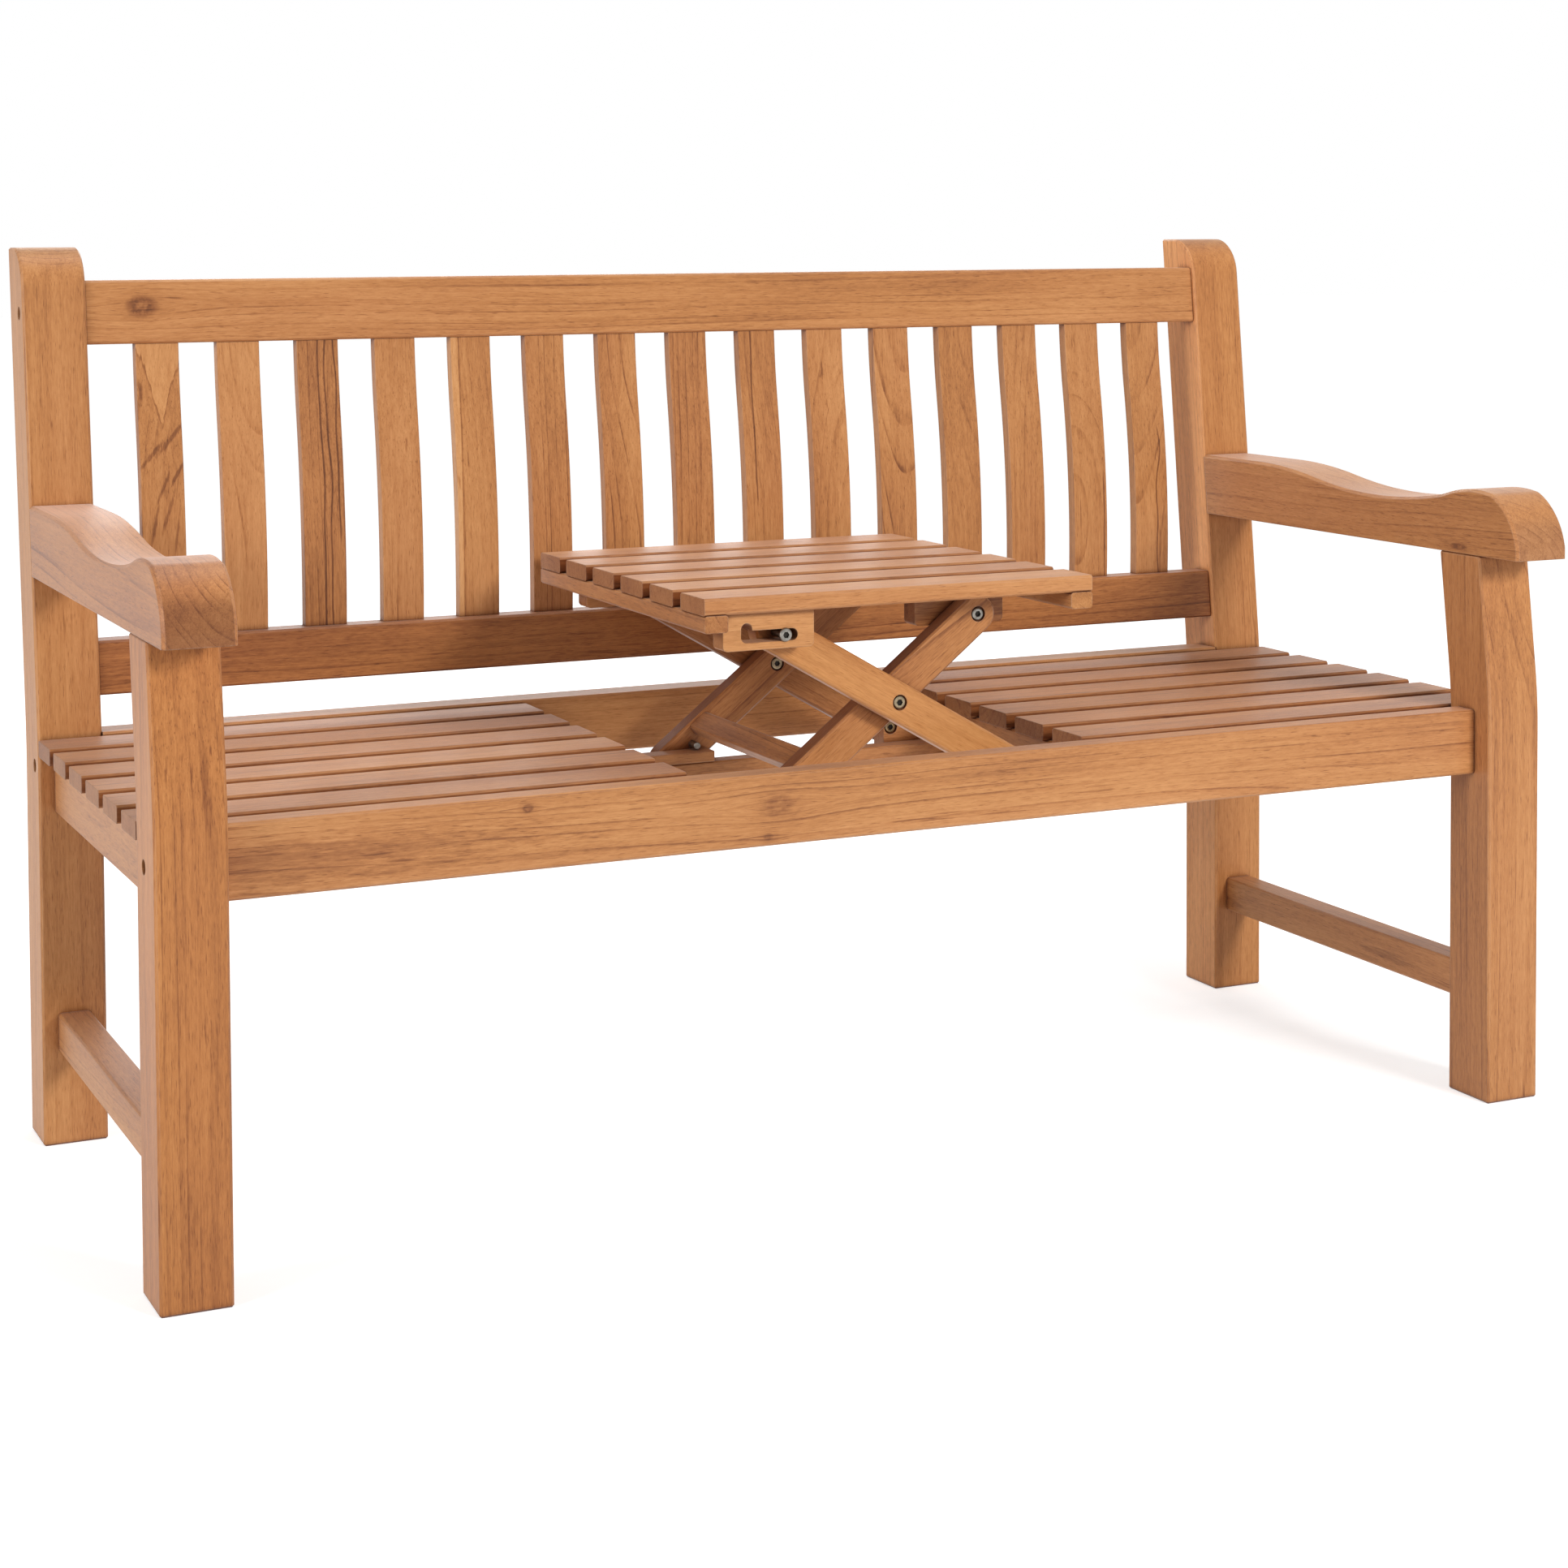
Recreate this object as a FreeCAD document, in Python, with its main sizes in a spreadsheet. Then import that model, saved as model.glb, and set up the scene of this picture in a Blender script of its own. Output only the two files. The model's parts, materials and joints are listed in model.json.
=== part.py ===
import FreeCAD, Part
import os
import re
import Sketcher

# Companion seat bench: two slatted seats with a centre table that a scissor frame
# raises level above the opening between them, or lowers flush with both seats.
# Millimetres. X runs along the bench and is 0 at its middle, Z is up from the floor.
# Profiles are drawn with Y = 0 at the front face of the front legs, and each piece
# is then moved so that the bounding box is centred over the origin.

SIZES = {
    # frame
    "bench_width": 1500,
    "leg_width": 66,
    "leg_depth": 68,
    "seat_depth": 461,
    "seat_height": 424,
    "back_height": 930,
    "back_rake": 57,
    "back_bend_drop": 9,
    "back_top_radius": 46,
    "front_lean": 20,
    "front_lean_rise": 11,
    "leg_bend_radius": 500,
    "wood_edge": 2,
    "leg_edge": 2,
    # armrests
    "arm_rise": 167,
    "arm_height": 72,
    "arm_dip_depth": 21,
    "arm_dip_centre": 205,
    "arm_dip_half": 120,
    "arm_hump_centre": 36,
    "arm_shoulder_drop": 4,
    "arm_nose_overhang": 43.5,
    "arm_nose_flat": 12,
    "arm_curve_radius": 150,
    "arm_nose_radius": 25,
    "arm_edge": 3,
    # rails
    "front_rail_setback": 25.5,
    "front_rail_thickness": 29,
    "front_rail_height": 69.5,
    "rear_rail_thickness": 40,
    "rear_rail_height": 65,
    "rear_rail_lip": 3,
    "side_rail_thickness": 33,
    "side_rail_height": 60,
    "stretcher_bottom": 98,
    "stretcher_height": 40,
    "rail_joint_gap": 0.5,
    # back
    "back_rail_setback": 5,
    "back_rail_thickness": 30,
    "top_rail_drop": 35,
    "top_rail_height": 67,
    "lower_rail_rise": 96,
    "lower_rail_height": 56,
    "back_slat_count": 15,
    "back_slat_width": 46,
    "back_slat_margin": 51.3,
    "back_slat_thickness": 13,
    "back_slat_low_setback": 13,
    "back_slat_high_setback": 3,
    "lumbar_bulge": 7.1,
    # seats
    "slat_count": 6,
    "slat_width": 60,
    "slat_thickness": 17,
    "slat_end_gap": 2,
    "opening_width": 440,
    "bearer_inset": 6,
    "bearer_thickness": 30,
    # table
    "table_left_gap": 0.9,
    "table_right_gap": 6.1,
    "batten_width": 25,
    "batten_height": 17,
    # scissor frame
    "outer_arm_half": 161,
    "inner_arm_half": 131,
    "inner_arm_tail": 30,
    "scissor_rise": 81,
    "arm_bar_width": 39,
    "arm_bar_thickness": 23,
    "arm_bar_edge": 2,
    "plane_gap": 1,
    "scissor_front_inset": 14,
    "scissor_rear_inset": 50,
    "block_thickness": 24,
    "arm_bar_headroom": 1.2,
    "table_pivot_drop": 41.7,
    "table_pivot_from_left": 334,
    "table_slide": 25,
    # table blocks
    "slide_block_gap": 0.3,
    "slide_block_width": 98,
    "slide_block_drop": 55,
    "slide_slot_left": 44.6,
    "slide_slot_right": 105.6,
    "slide_slot_height": 12,
    "slide_notch_width": 12,
    "slide_notch_rise": 7.5,
    "pivot_block_left": 61,
    "pivot_block_right": 42,
    "pivot_block_below": 12,
    "block_corner": 5,
    # base
    "base_rail_height": 20,
    "base_rail_drop": 74,
    "base_block_left": 9,
    "base_block_right": 54,
    "base_block_above": 10,
    "base_block_step": 14,
    "base_block_slope": 8,
    "base_block_tail": 17,
    "runner_overrun": 16,
    "runner_drop": 0.9,
    # cross bar
    "cross_bar_start": 96,
    "cross_bar_width": 25,
    "cross_bar_thickness": 14,
    "cross_bar_offset": 3,
    # pivot bolts
    "bolt_radius": 4,
    "bolt_head_radius": 6.75,
    "bolt_head_height": 3,
    "bore_clearance": 0.05,
    "slot_clearance": 0.15,
    "head_recess_radius": 8,
    "head_recess_depth": 3.3,
    "runner_pin_reach": 14,
    # frame bolts
    "frame_bolt_recess_radius": 7,
    "frame_bolt_recess_depth": 9,
    "frame_bolt_head_radius": 6.2,
    "frame_bolt_head_height": 4,
    "frame_bolt_radius": 3.5,
    "frame_bolt_reach": 30,
    "frame_bolt_clearance": 0.4,
}

doc = FreeCAD.newDocument("companion_seat_bench")
sheet = doc.addObject("Spreadsheet::Sheet", "Sizes")
for row, (alias, number) in enumerate(SIZES.items(), start=1):
    sheet.set(f"A{row}", alias)
    sheet.set(f"B{row}", str(number))
    sheet.setAlias(f"B{row}", alias)
doc.recompute()

ALIAS = re.compile(r"\b(" + "|".join(SIZES) + r")\b")
parts = []


def formula(text):
    """The expression for a text that names sizes of the sheet."""
    return ALIAS.sub(r"Sizes.\1", str(text))


def value(text):
    """The number that an expression gives with the sheet's present sizes."""
    return float(sheet.evalExpression(formula(text)))


def bind(item, prop, text):
    item.setExpression(prop, formula(text))


def keep(item, node):
    """Mark a finished piece: its label names its file."""
    item.Label = node
    parts.append(item)
    return item


# Places worked out from the driving sizes

BACK_FRONT = "(leg_depth + seat_depth)"
BACK_REAR = "(2 * leg_depth + seat_depth)"
CENTRE_Y = f"(({BACK_REAR} + back_rake - arm_nose_overhang) / 2)"
BACK_BEND = "(seat_height - back_bend_drop)"
FRONT_BEND = "(seat_height + front_lean_rise)"
ARM_UNDER = "(seat_height + arm_rise)"
TOP_RAIL_TOP = "(back_height - top_rail_drop)"
LOWER_RAIL_TOP = "(seat_height + lower_rail_rise)"
RAKE = f"(back_rake / (back_height - {BACK_BEND}))"
FRONT_LEAN = f"(front_lean / ({ARM_UNDER} - {FRONT_BEND}))"
LEG_X = "(bench_width / 2 - leg_width / 2)"
CLEAR_WIDTH = "(bench_width - 2 * leg_width - 2 * rail_joint_gap)"
SLAT_UNDER = "(seat_height - slat_thickness)"
ARM_TOP = f"({ARM_UNDER} + arm_height)"
BACK_SLAT_SPAN = "(bench_width - 2 * leg_width - 2 * back_slat_margin - back_slat_width)"
BACK_SLAT_PITCH = f"({BACK_SLAT_SPAN} / (back_slat_count - 1))"
SLAT_PITCH = "((seat_depth - 2 * slat_end_gap - slat_width) / (slat_count - 1))"
SEAT_SLAT_LENGTH = "((bench_width - opening_width) / 2)"
SEAT_SLAT_X = "((bench_width + opening_width) / 4)"
BEARER_X = "(opening_width / 2 + bearer_inset + bearer_thickness / 2)"
FRONT_RAIL_REAR = "(front_rail_setback + front_rail_thickness)"

# Lowered, the arms lie level just under the slats; raised, they stand as tall as the rise.
BASE_PIVOT_Z = f"({SLAT_UNDER} - arm_bar_width / 2 - arm_bar_headroom)"
OUTER_RUN = "sqrt(outer_arm_half ^ 2 - scissor_rise ^ 2)"
INNER_RUN = "sqrt(inner_arm_half ^ 2 - scissor_rise ^ 2)"
OUTER_ANGLE = "asin(scissor_rise / outer_arm_half)"
INNER_ANGLE = "asin(scissor_rise / inner_arm_half)"
CROSSING_Z = f"({BASE_PIVOT_Z} + scissor_rise)"
UPPER_Z = f"({BASE_PIVOT_Z} + 2 * scissor_rise)"
TABLE_TOP = f"({UPPER_Z} + table_pivot_drop)"
TABLE_UNDER = f"({TABLE_TOP} - slat_thickness)"
TABLE_FRONT = "(leg_depth + slat_end_gap)"
TABLE_REAR = f"({BACK_FRONT} - slat_end_gap)"
TABLE_WIDTH = "(opening_width - table_left_gap - table_right_gap)"
# On the way down the pivots carry the table right, and its slots let it slide left.
PIVOT_DRIFT = f"({OUTER_RUN} - {INNER_RUN} - outer_arm_half + inner_arm_half)"
TABLE_LEFT = f"(table_left_gap - opening_width / 2 + table_slide - {PIVOT_DRIFT})"
TABLE_X = f"({TABLE_LEFT} + {TABLE_WIDTH} / 2)"
TABLE_PIVOT_X = f"({TABLE_LEFT} + table_pivot_from_left)"
CROSSING_X = f"({TABLE_PIVOT_X} - {INNER_RUN})"
BASE_PIVOT_X = f"({CROSSING_X} + {OUTER_RUN})"
SLIDE_BOLT_X = f"({CROSSING_X} - {OUTER_RUN})"
RUNNER_BOLT_X = f"({CROSSING_X} - {INNER_RUN})"
RUNNER_BOLT_LOW_X = f"({BASE_PIVOT_X} - outer_arm_half - inner_arm_half)"
BASE_RAIL_BOTTOM = "(seat_height - base_rail_drop)"
BASE_RAIL_TOP = f"({BASE_RAIL_BOTTOM} + base_rail_height)"
RUNNER_TOP = f"({BASE_PIVOT_Z} - bolt_radius - runner_drop)"


# Layers of the scissor frame, counted inwards from the front or the rear of the table

SLIDE_LAYER = "0"
OUTER_LAYER = "(block_thickness + plane_gap)"
INNER_LAYER = f"({OUTER_LAYER} + arm_bar_thickness + plane_gap)"
INSIDE_LAYER = f"({INNER_LAYER} + arm_bar_thickness + plane_gap)"
BASE_BLOCK_THICKNESS = "(arm_bar_thickness + plane_gap)"
SCISSOR_FRONT = f"({TABLE_FRONT} + scissor_front_inset)"
SCISSOR_REAR = f"({TABLE_REAR} - scissor_rear_inset)"


def layer_y(side, depth):
    """Y of a depth behind the outer face of the front or the rear scissor."""
    if side == "front":
        return f"({SCISSOR_FRONT} + {depth})"
    return f"({SCISSOR_REAR} - ({depth}))"


# Drawing and building helpers

def plane_of(body, role):
    return [item for item in body.Origin.OriginFeatures if item.Role == role][0]


def vector(pair):
    return FreeCAD.Vector(value(pair[0]), value(pair[1]), 0)


def point_holds(geometry, vertex, pair):
    """Constraints that hold a vertex at its two formulas."""
    return [
        (Sketcher.Constraint("DistanceX", geometry, vertex, value(pair[0])), pair[0]),
        (Sketcher.Constraint("DistanceY", geometry, vertex, value(pair[1])), pair[1]),
    ]


def add_arc(sketch, start, via, end):
    """Add an arc through a third point, and give the constraints that hold it."""
    first, middle, last = (vector(point) for point in (start, via, end))
    turns_left = (middle - first).cross(last - middle).z > 0
    if turns_left:
        edge = sketch.addGeometry(Part.Arc(first, middle, last))
    else:
        edge = sketch.addGeometry(Part.Arc(last, middle, first))
        start, end = end, start
    mark = sketch.addGeometry(Part.Point(middle), True)
    holds = point_holds(edge, 1, start) + point_holds(edge, 2, end)
    holds += point_holds(mark, 1, via)
    holds.append((Sketcher.Constraint("PointOnObject", mark, 1, edge), None))
    return holds


def add_line(sketch, start, end):
    edge = sketch.addGeometry(Part.LineSegment(vector(start), vector(end)))
    return point_holds(edge, 1, start) + point_holds(edge, 2, end)


def draw_outline(sketch, points):
    """Draw a closed outline; a point marked via makes the arc that passes through it."""
    holds = []
    start = points[0]
    via = None
    for point in points[1:] + [start]:
        if point[0] == "via":
            via = point[1:]
            continue
        if via is None:
            holds += add_line(sketch, start, point)
        else:
            holds += add_arc(sketch, start, via, point)
        start = point
        via = None
    numbers = sketch.addConstraint([constraint for constraint, text in holds])
    for number, (constraint, text) in zip(numbers, holds):
        if text is not None:
            bind(sketch, f"Constraints[{number}]", text)


def new_sketch(body, name, role):
    sketch = body.newObject("Sketcher::SketchObject", name)
    sketch.AttachmentSupport = [(plane_of(body, role), "")]
    sketch.MapMode = "FlatFace"
    return sketch


def prism(name, role, points, length, place=("0", "0", "0")):
    """A body padded both ways from the outline's plane, moved to its place."""
    body = doc.addObject("PartDesign::Body", name)
    sketch = new_sketch(body, name + "_outline", role)
    draw_outline(sketch, points)
    pad = body.newObject("PartDesign::Pad", name + "_pad")
    pad.Profile = sketch
    pad.SideType = "Symmetric"
    bind(pad, "Length", length)
    bind(body, "Placement.Base.x", place[0])
    bind(body, "Placement.Base.y", f"{place[1]} - {CENTRE_Y}")
    bind(body, "Placement.Base.z", place[2])
    doc.recompute([body])
    return body


def rectangle(low, high):
    return [low, (high[0], low[1]), high, (low[0], high[1])]


def is_parallel(edge, axis):
    start = edge.Vertexes[0].Point
    end = edge.Vertexes[-1].Point
    along = end - start
    return along.Length > 0.01 and along.normalize().cross(axis).Length < 0.001


def any_edge(edge):
    return True


def dress(body, kind, prop, size, chosen):
    """Add a fillet or a chamfer to the chosen edges of the body's last feature."""
    base = body.Tip
    names = [f"Edge{n}" for n, edge in enumerate(base.Shape.Edges, start=1) if chosen(edge)]
    feature = body.newObject("PartDesign::" + kind, f"{body.Name}_{kind}")
    feature.Base = (base, names)
    bind(feature, prop, size)
    body.Tip = feature
    doc.recompute([body])
    return body


def ease(body, radius, chosen):
    return dress(body, "Fillet", "Radius", radius, chosen)


def bevel(body, size, chosen):
    return dress(body, "Chamfer", "Size", size, chosen)


def edges_at(across, up, axis):
    """Edges along an axis that pass through a point of the outline's plane."""
    first = value(across)
    second = value(up)

    def chosen(edge):
        if not is_parallel(edge, axis):
            return False
        point = edge.Vertexes[0].Point
        if axis.x:
            pair = (point.y, point.z)
        else:
            pair = (point.x, point.z)
        return abs(pair[0] - first) < 0.01 and abs(pair[1] - second) < 0.01

    return chosen


X_AXIS = FreeCAD.Vector(1, 0, 0)
Y_AXIS = FreeCAD.Vector(0, 1, 0)


def edges_at_any(points):
    """Edges along X that pass through any of the outline's points."""
    tests = [edges_at(across, up, X_AXIS) for across, up in points]
    return lambda edge: any(test(edge) for test in tests)


def bar_x(name, low, high, length, place=("0", "0", "0")):
    """A bar along X with bevelled long edges; low and high are its section's (y, z)."""
    body = prism(name, "YZ_Plane", rectangle(low, high), length, place)
    return bevel(body, "wood_edge", lambda edge: is_parallel(edge, X_AXIS))


def bar_y(name, low, high, length, place):
    """A bar along Y with bevelled long edges; low and high are its section's (x, z)."""
    body = prism(name, "XZ_Plane", rectangle(low, high), length, place)
    return bevel(body, "wood_edge", lambda edge: is_parallel(edge, Y_AXIS))


def cylinder(name, axis, radius, length, place):
    """A cylinder along +X or +Y from its place."""
    item = doc.addObject("Part::Cylinder", name)
    if axis == "X":
        turn = FreeCAD.Rotation(FreeCAD.Vector(0, 1, 0), 90)
    else:
        turn = FreeCAD.Rotation(FreeCAD.Vector(1, 0, 0), -90)
    item.Placement = FreeCAD.Placement(FreeCAD.Vector(0, 0, 0), turn)
    bind(item, "Radius", radius)
    bind(item, "Height", length)
    bind(item, "Placement.Base.x", place[0])
    bind(item, "Placement.Base.y", f"{place[1]} - {CENTRE_Y}")
    bind(item, "Placement.Base.z", place[2])
    return item


def fuse(name, items):
    joined = doc.addObject("Part::MultiFuse", name)
    joined.Shapes = items
    return joined


def cut(name, base, tools):
    """The base with every tool taken away."""
    result = doc.addObject("Part::Cut", name)
    result.Base = base
    result.Tool = tools[0] if len(tools) == 1 else fuse(name + "_tools", tools)
    return result


def group(name, items):
    """Equal pieces that share a node, as separate solids."""
    result = doc.addObject("Part::Compound", name)
    result.Links = items
    return result


# Legs

def bend(across, height, slope):
    """Three points of the arc that turns an upright edge at a height to a slope."""
    reach = f"leg_bend_radius * tan(atan({slope}) / 2)"
    half = f"(atan({slope}) / 2)"
    return [
        (across, f"{height} - {reach}"),
        ("via", f"{across} + leg_bend_radius * (1 - cos({half}))",
         f"{height} - {reach} + leg_bend_radius * sin({half})"),
        (f"{across} + {reach} * sin(atan({slope}))",
         f"{height} + {reach} * cos(atan({slope}))"),
    ]


def leg_outline(front, bend_height, slope, top, lean):
    """An upright leg that leans back above its bend, drawn with its front edge first."""
    rear = f"({front} + leg_depth)"
    behind = bend(rear, bend_height, slope)
    return [(front, "0")] + bend(front, bend_height, slope) + [
        (f"{front} + {lean}", top),
        (f"{rear} + {lean}", top),
        behind[2],
        behind[1],
        behind[0],
        (rear, "0"),
    ]


def recess(name, side, y, z):
    """Counterbore and shank hole of a frame bolt in a leg's outer face."""
    if side < 0:
        outer = "-bench_width / 2"
        inner = "-bench_width / 2"
    else:
        outer = "bench_width / 2 - frame_bolt_recess_depth"
        inner = "bench_width / 2 - leg_width"
    wide = cylinder(name + "_wide", "X", "frame_bolt_recess_radius",
                    "frame_bolt_recess_depth", (outer, y, z))
    narrow = cylinder(name + "_narrow", "X", "frame_bolt_radius + frame_bolt_clearance",
                      "leg_width", (inner, y, z))
    return [wide, narrow]


TOP_RAIL_MID_Z = f"({TOP_RAIL_TOP} - top_rail_height / 2)"
TOP_RAIL_BOLT_Y = f"({BACK_FRONT} + {RAKE} * ({TOP_RAIL_MID_Z} - {BACK_BEND})" \
                  " + back_rail_setback + back_rail_thickness / 2)"
REAR_RAIL_BOLT_Z = "(seat_height + rear_rail_lip - rear_rail_height / 2)"
REAR_RAIL_BOLT_Y = f"({BACK_FRONT} + rear_rail_thickness / 2)"
FRONT_RAIL_BOLT_Z = "(seat_height - front_rail_height / 2)"
FRONT_RAIL_BOLT_Y = "(front_rail_setback + front_rail_thickness / 2)"
FRAME_BOLTS = {
    "top": (TOP_RAIL_BOLT_Y, TOP_RAIL_MID_Z),
    "rear": (REAR_RAIL_BOLT_Y, REAR_RAIL_BOLT_Z),
    "front": (FRONT_RAIL_BOLT_Y, FRONT_RAIL_BOLT_Z),
}


def build_leg(node, outline, side, top_corner, bolts):
    body = prism(node + "_blank", "YZ_Plane", outline, "leg_width",
                 (f"{side} * {LEG_X}", "0", "0"))
    if top_corner:
        ease(body, "back_top_radius", edges_at(top_corner[0], top_corner[1], X_AXIS))
    bevel(body, "leg_edge", any_edge)
    tools = []
    for bolt in bolts:
        tools += recess(f"{node}_{bolt}", side, *FRAME_BOLTS[bolt])
    keep(cut(node + "_drilled", body, tools), node)


def build_legs():
    front = leg_outline("0", FRONT_BEND, FRONT_LEAN, ARM_UNDER, "front_lean")
    back = leg_outline(BACK_FRONT, BACK_BEND, RAKE, "back_height", "back_rake")
    corner = (f"{BACK_FRONT} + back_rake", "back_height")
    for word, side in (("left", -1), ("right", 1)):
        build_leg(f"front_leg_{word}", front, side, None, ["front"])
        build_leg(f"back_leg_{word}", back, side, corner, ["top", "rear"])


# Armrests

def leg_front_at(height):
    """Y of the back leg's front face at a height above its bend."""
    return f"({BACK_FRONT} + {RAKE} * ({height} - {BACK_BEND}))"


def arm_outline():
    half = "arm_dip_half"
    centre = "arm_dip_centre"
    top = ARM_TOP
    return [
        ("-arm_nose_overhang", ARM_UNDER),
        (leg_front_at(ARM_UNDER), ARM_UNDER),
        (leg_front_at(top), top),
        (f"{centre} + 2 * {half}", top),
        ("via", f"{centre} + 1.5 * {half}", f"{top} - arm_dip_depth / 8"),
        (f"{centre} + {half}", f"{top} - arm_dip_depth / 2"),
        ("via", centre, f"{top} - arm_dip_depth"),
        (f"{centre} - {half}", f"{top} - arm_dip_depth / 2"),
        ("via", "arm_hump_centre", f"{top} - arm_dip_depth / 16"),
        ("0", f"{top} - arm_shoulder_drop"),
        ("via", "-0.68 * arm_nose_overhang", f"{top} - 0.38 * arm_height"),
        ("-arm_nose_overhang", f"{ARM_UNDER} + arm_nose_flat"),
    ]


def build_armrests():
    swell_ends = [
        ("arm_dip_centre + 2 * arm_dip_half", ARM_TOP),
        ("arm_dip_centre + arm_dip_half", f"{ARM_TOP} - arm_dip_depth / 2"),
        ("arm_dip_centre - arm_dip_half", f"{ARM_TOP} - arm_dip_depth / 2"),
    ]
    nose_ends = [
        ("0", f"{ARM_TOP} - arm_shoulder_drop"),
        ("-arm_nose_overhang", f"{ARM_UNDER} + arm_nose_flat"),
    ]
    under = value(ARM_UNDER)

    def upper_outline(edge):
        box = edge.BoundBox
        return box.XLength < 0.01 and box.ZMin > under + 0.01

    for word, side in (("left", -1), ("right", 1)):
        node = f"armrest_{word}"
        place = (f"{side} * {LEG_X}", "0", "0")
        body = prism(node, "YZ_Plane", arm_outline(), "leg_width", place)
        ease(body, "arm_curve_radius", edges_at_any(swell_ends))
        ease(body, "arm_nose_radius", edges_at_any(nose_ends))
        bevel(body, "arm_edge", upper_outline)
        keep(body, node)


# Rails

def raked_section(top, height):
    """Section of a back rail whose faces follow the rake of the back legs."""
    low = f"({top} - {height})"
    front_low = f"{leg_front_at(low)} + back_rail_setback"
    front_high = f"{leg_front_at(top)} + back_rail_setback"
    return [
        (front_low, low),
        (f"{front_low} + back_rail_thickness", low),
        (f"{front_high} + back_rail_thickness", top),
        (front_high, top),
    ]


def build_rails():
    low = ("front_rail_setback", "seat_height - front_rail_height")
    keep(bar_x("front_rail", low, (FRONT_RAIL_REAR, "seat_height"), CLEAR_WIDTH), "front_rail")
    low = (BACK_FRONT, "seat_height + rear_rail_lip - rear_rail_height")
    high = (f"{BACK_FRONT} + rear_rail_thickness", "seat_height + rear_rail_lip")
    keep(bar_x("rear_rail", low, high, CLEAR_WIDTH), "rear_rail")
    for node, top, height in (("top_back_rail", TOP_RAIL_TOP, "top_rail_height"),
                              ("lower_back_rail", LOWER_RAIL_TOP, "lower_rail_height")):
        body = prism(node, "YZ_Plane", raked_section(top, height), CLEAR_WIDTH)
        bevel(body, "wood_edge", lambda edge: is_parallel(edge, X_AXIS))
        keep(body, node)
    middle = "leg_depth + seat_depth / 2"
    half = "side_rail_thickness / 2"
    for word, side in (("left", -1), ("right", 1)):
        place = (f"{side} * {LEG_X}", middle, "0")
        low = (f"-{half}", f"{SLAT_UNDER} - side_rail_height")
        node = f"side_rail_{word}"
        keep(bar_y(node, low, (half, SLAT_UNDER), "seat_depth", place), node)
        low = (f"-{half}", "stretcher_bottom")
        high = (half, "stretcher_bottom + stretcher_height")
        node = f"stretcher_{word}"
        keep(bar_y(node, low, high, "seat_depth", place), node)


# Back slats: S-shaped in side view, between the two back rails

LOWER_SLAT_Y = f"({leg_front_at(LOWER_RAIL_TOP)} + back_rail_setback + back_slat_low_setback)"
TOP_RAIL_BOTTOM = f"({TOP_RAIL_TOP} - top_rail_height)"
UPPER_SLAT_Y = f"({leg_front_at(TOP_RAIL_BOTTOM)} + back_rail_setback + back_slat_high_setback)"


def slat_point(part_up, bulge, rear):
    """A point a share of the way up the slat, a share of the bulge ahead of its chord."""
    across = f"{LOWER_SLAT_Y} + {part_up} * ({UPPER_SLAT_Y} - {LOWER_SLAT_Y})"
    across += f" - {bulge} * lumbar_bulge"
    if rear:
        across += " + back_slat_thickness"
    up = f"{LOWER_RAIL_TOP} + {part_up} * ({TOP_RAIL_BOTTOM} - {LOWER_RAIL_TOP})"
    return (across, up)


def back_slat_outline():
    """Full at the small of the back, then hollow towards the shoulders."""
    return [
        slat_point(0, 0, False),
        slat_point(0, 0, True),
        ("via",) + slat_point(0.37, 1, True),
        slat_point(0.74, 0.366, True),
        ("via",) + slat_point(0.87, 0.02, True),
        slat_point(1, 0, True),
        slat_point(1, 0, False),
        ("via",) + slat_point(0.87, 0.02, False),
        slat_point(0.74, 0.366, False),
        ("via",) + slat_point(0.37, 1, False),
    ]


def build_back_slats():
    for number in range(1, int(value("back_slat_count")) + 1):
        node = f"back_slat_{number:02d}"
        offset = f"{BACK_SLAT_PITCH} * ({number} - (back_slat_count + 1) / 2)"
        keep(prism(node, "YZ_Plane", back_slat_outline(), "back_slat_width",
                   (offset, "0", "0")), node)


# Seats

def slat_front(number):
    return f"(leg_depth + slat_end_gap + {number} * {SLAT_PITCH})"


def build_slat(name, number, top, length, x):
    """One slat of a seat or of the table, numbered from the front."""
    low = ("0", f"{top} - slat_thickness")
    return bar_x(name, low, ("slat_width", top), length, (x, slat_front(number), "0"))


def build_seats():
    for word, side in (("left", -1), ("right", 1)):
        slats = []
        for number in range(int(value("slat_count"))):
            name = f"{word}_seat_slat_{number + 1}"
            slats.append(build_slat(name, number, "seat_height", SEAT_SLAT_LENGTH,
                                    f"{side} * {SEAT_SLAT_X}"))
        keep(group(f"{word}_seat", slats), f"{word}_seat_slats")
        node = f"seat_bearer_{word}"
        length = f"({BACK_FRONT} - {FRONT_RAIL_REAR})"
        place = (f"{side} * {BEARER_X}", f"{FRONT_RAIL_REAR} + {length} / 2", "0")
        half = "bearer_thickness / 2"
        keep(bar_y(node, (f"-{half}", BASE_RAIL_BOTTOM), (half, SLAT_UNDER), length, place),
             node)


# Table

def build_table_top():
    for number in range(int(value("slat_count"))):
        node = f"table_slat_{number + 1}"
        keep(build_slat(node, number, TABLE_TOP, TABLE_WIDTH, TABLE_X), node)
    middle = f"({TABLE_FRONT} + {TABLE_REAR}) / 2"
    half = "batten_width / 2"
    for word, side in (("left", -1), ("right", 1)):
        x = f"{TABLE_X} + {side} * ({TABLE_WIDTH} / 2 - {half})"
        low = (f"-{half}", f"{TABLE_UNDER} - batten_height")
        node = f"table_batten_{word}"
        keep(bar_y(node, low, (half, TABLE_UNDER), f"({TABLE_REAR} - {TABLE_FRONT})",
                   (x, middle, "0")), node)


# Blocks under the table

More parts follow.
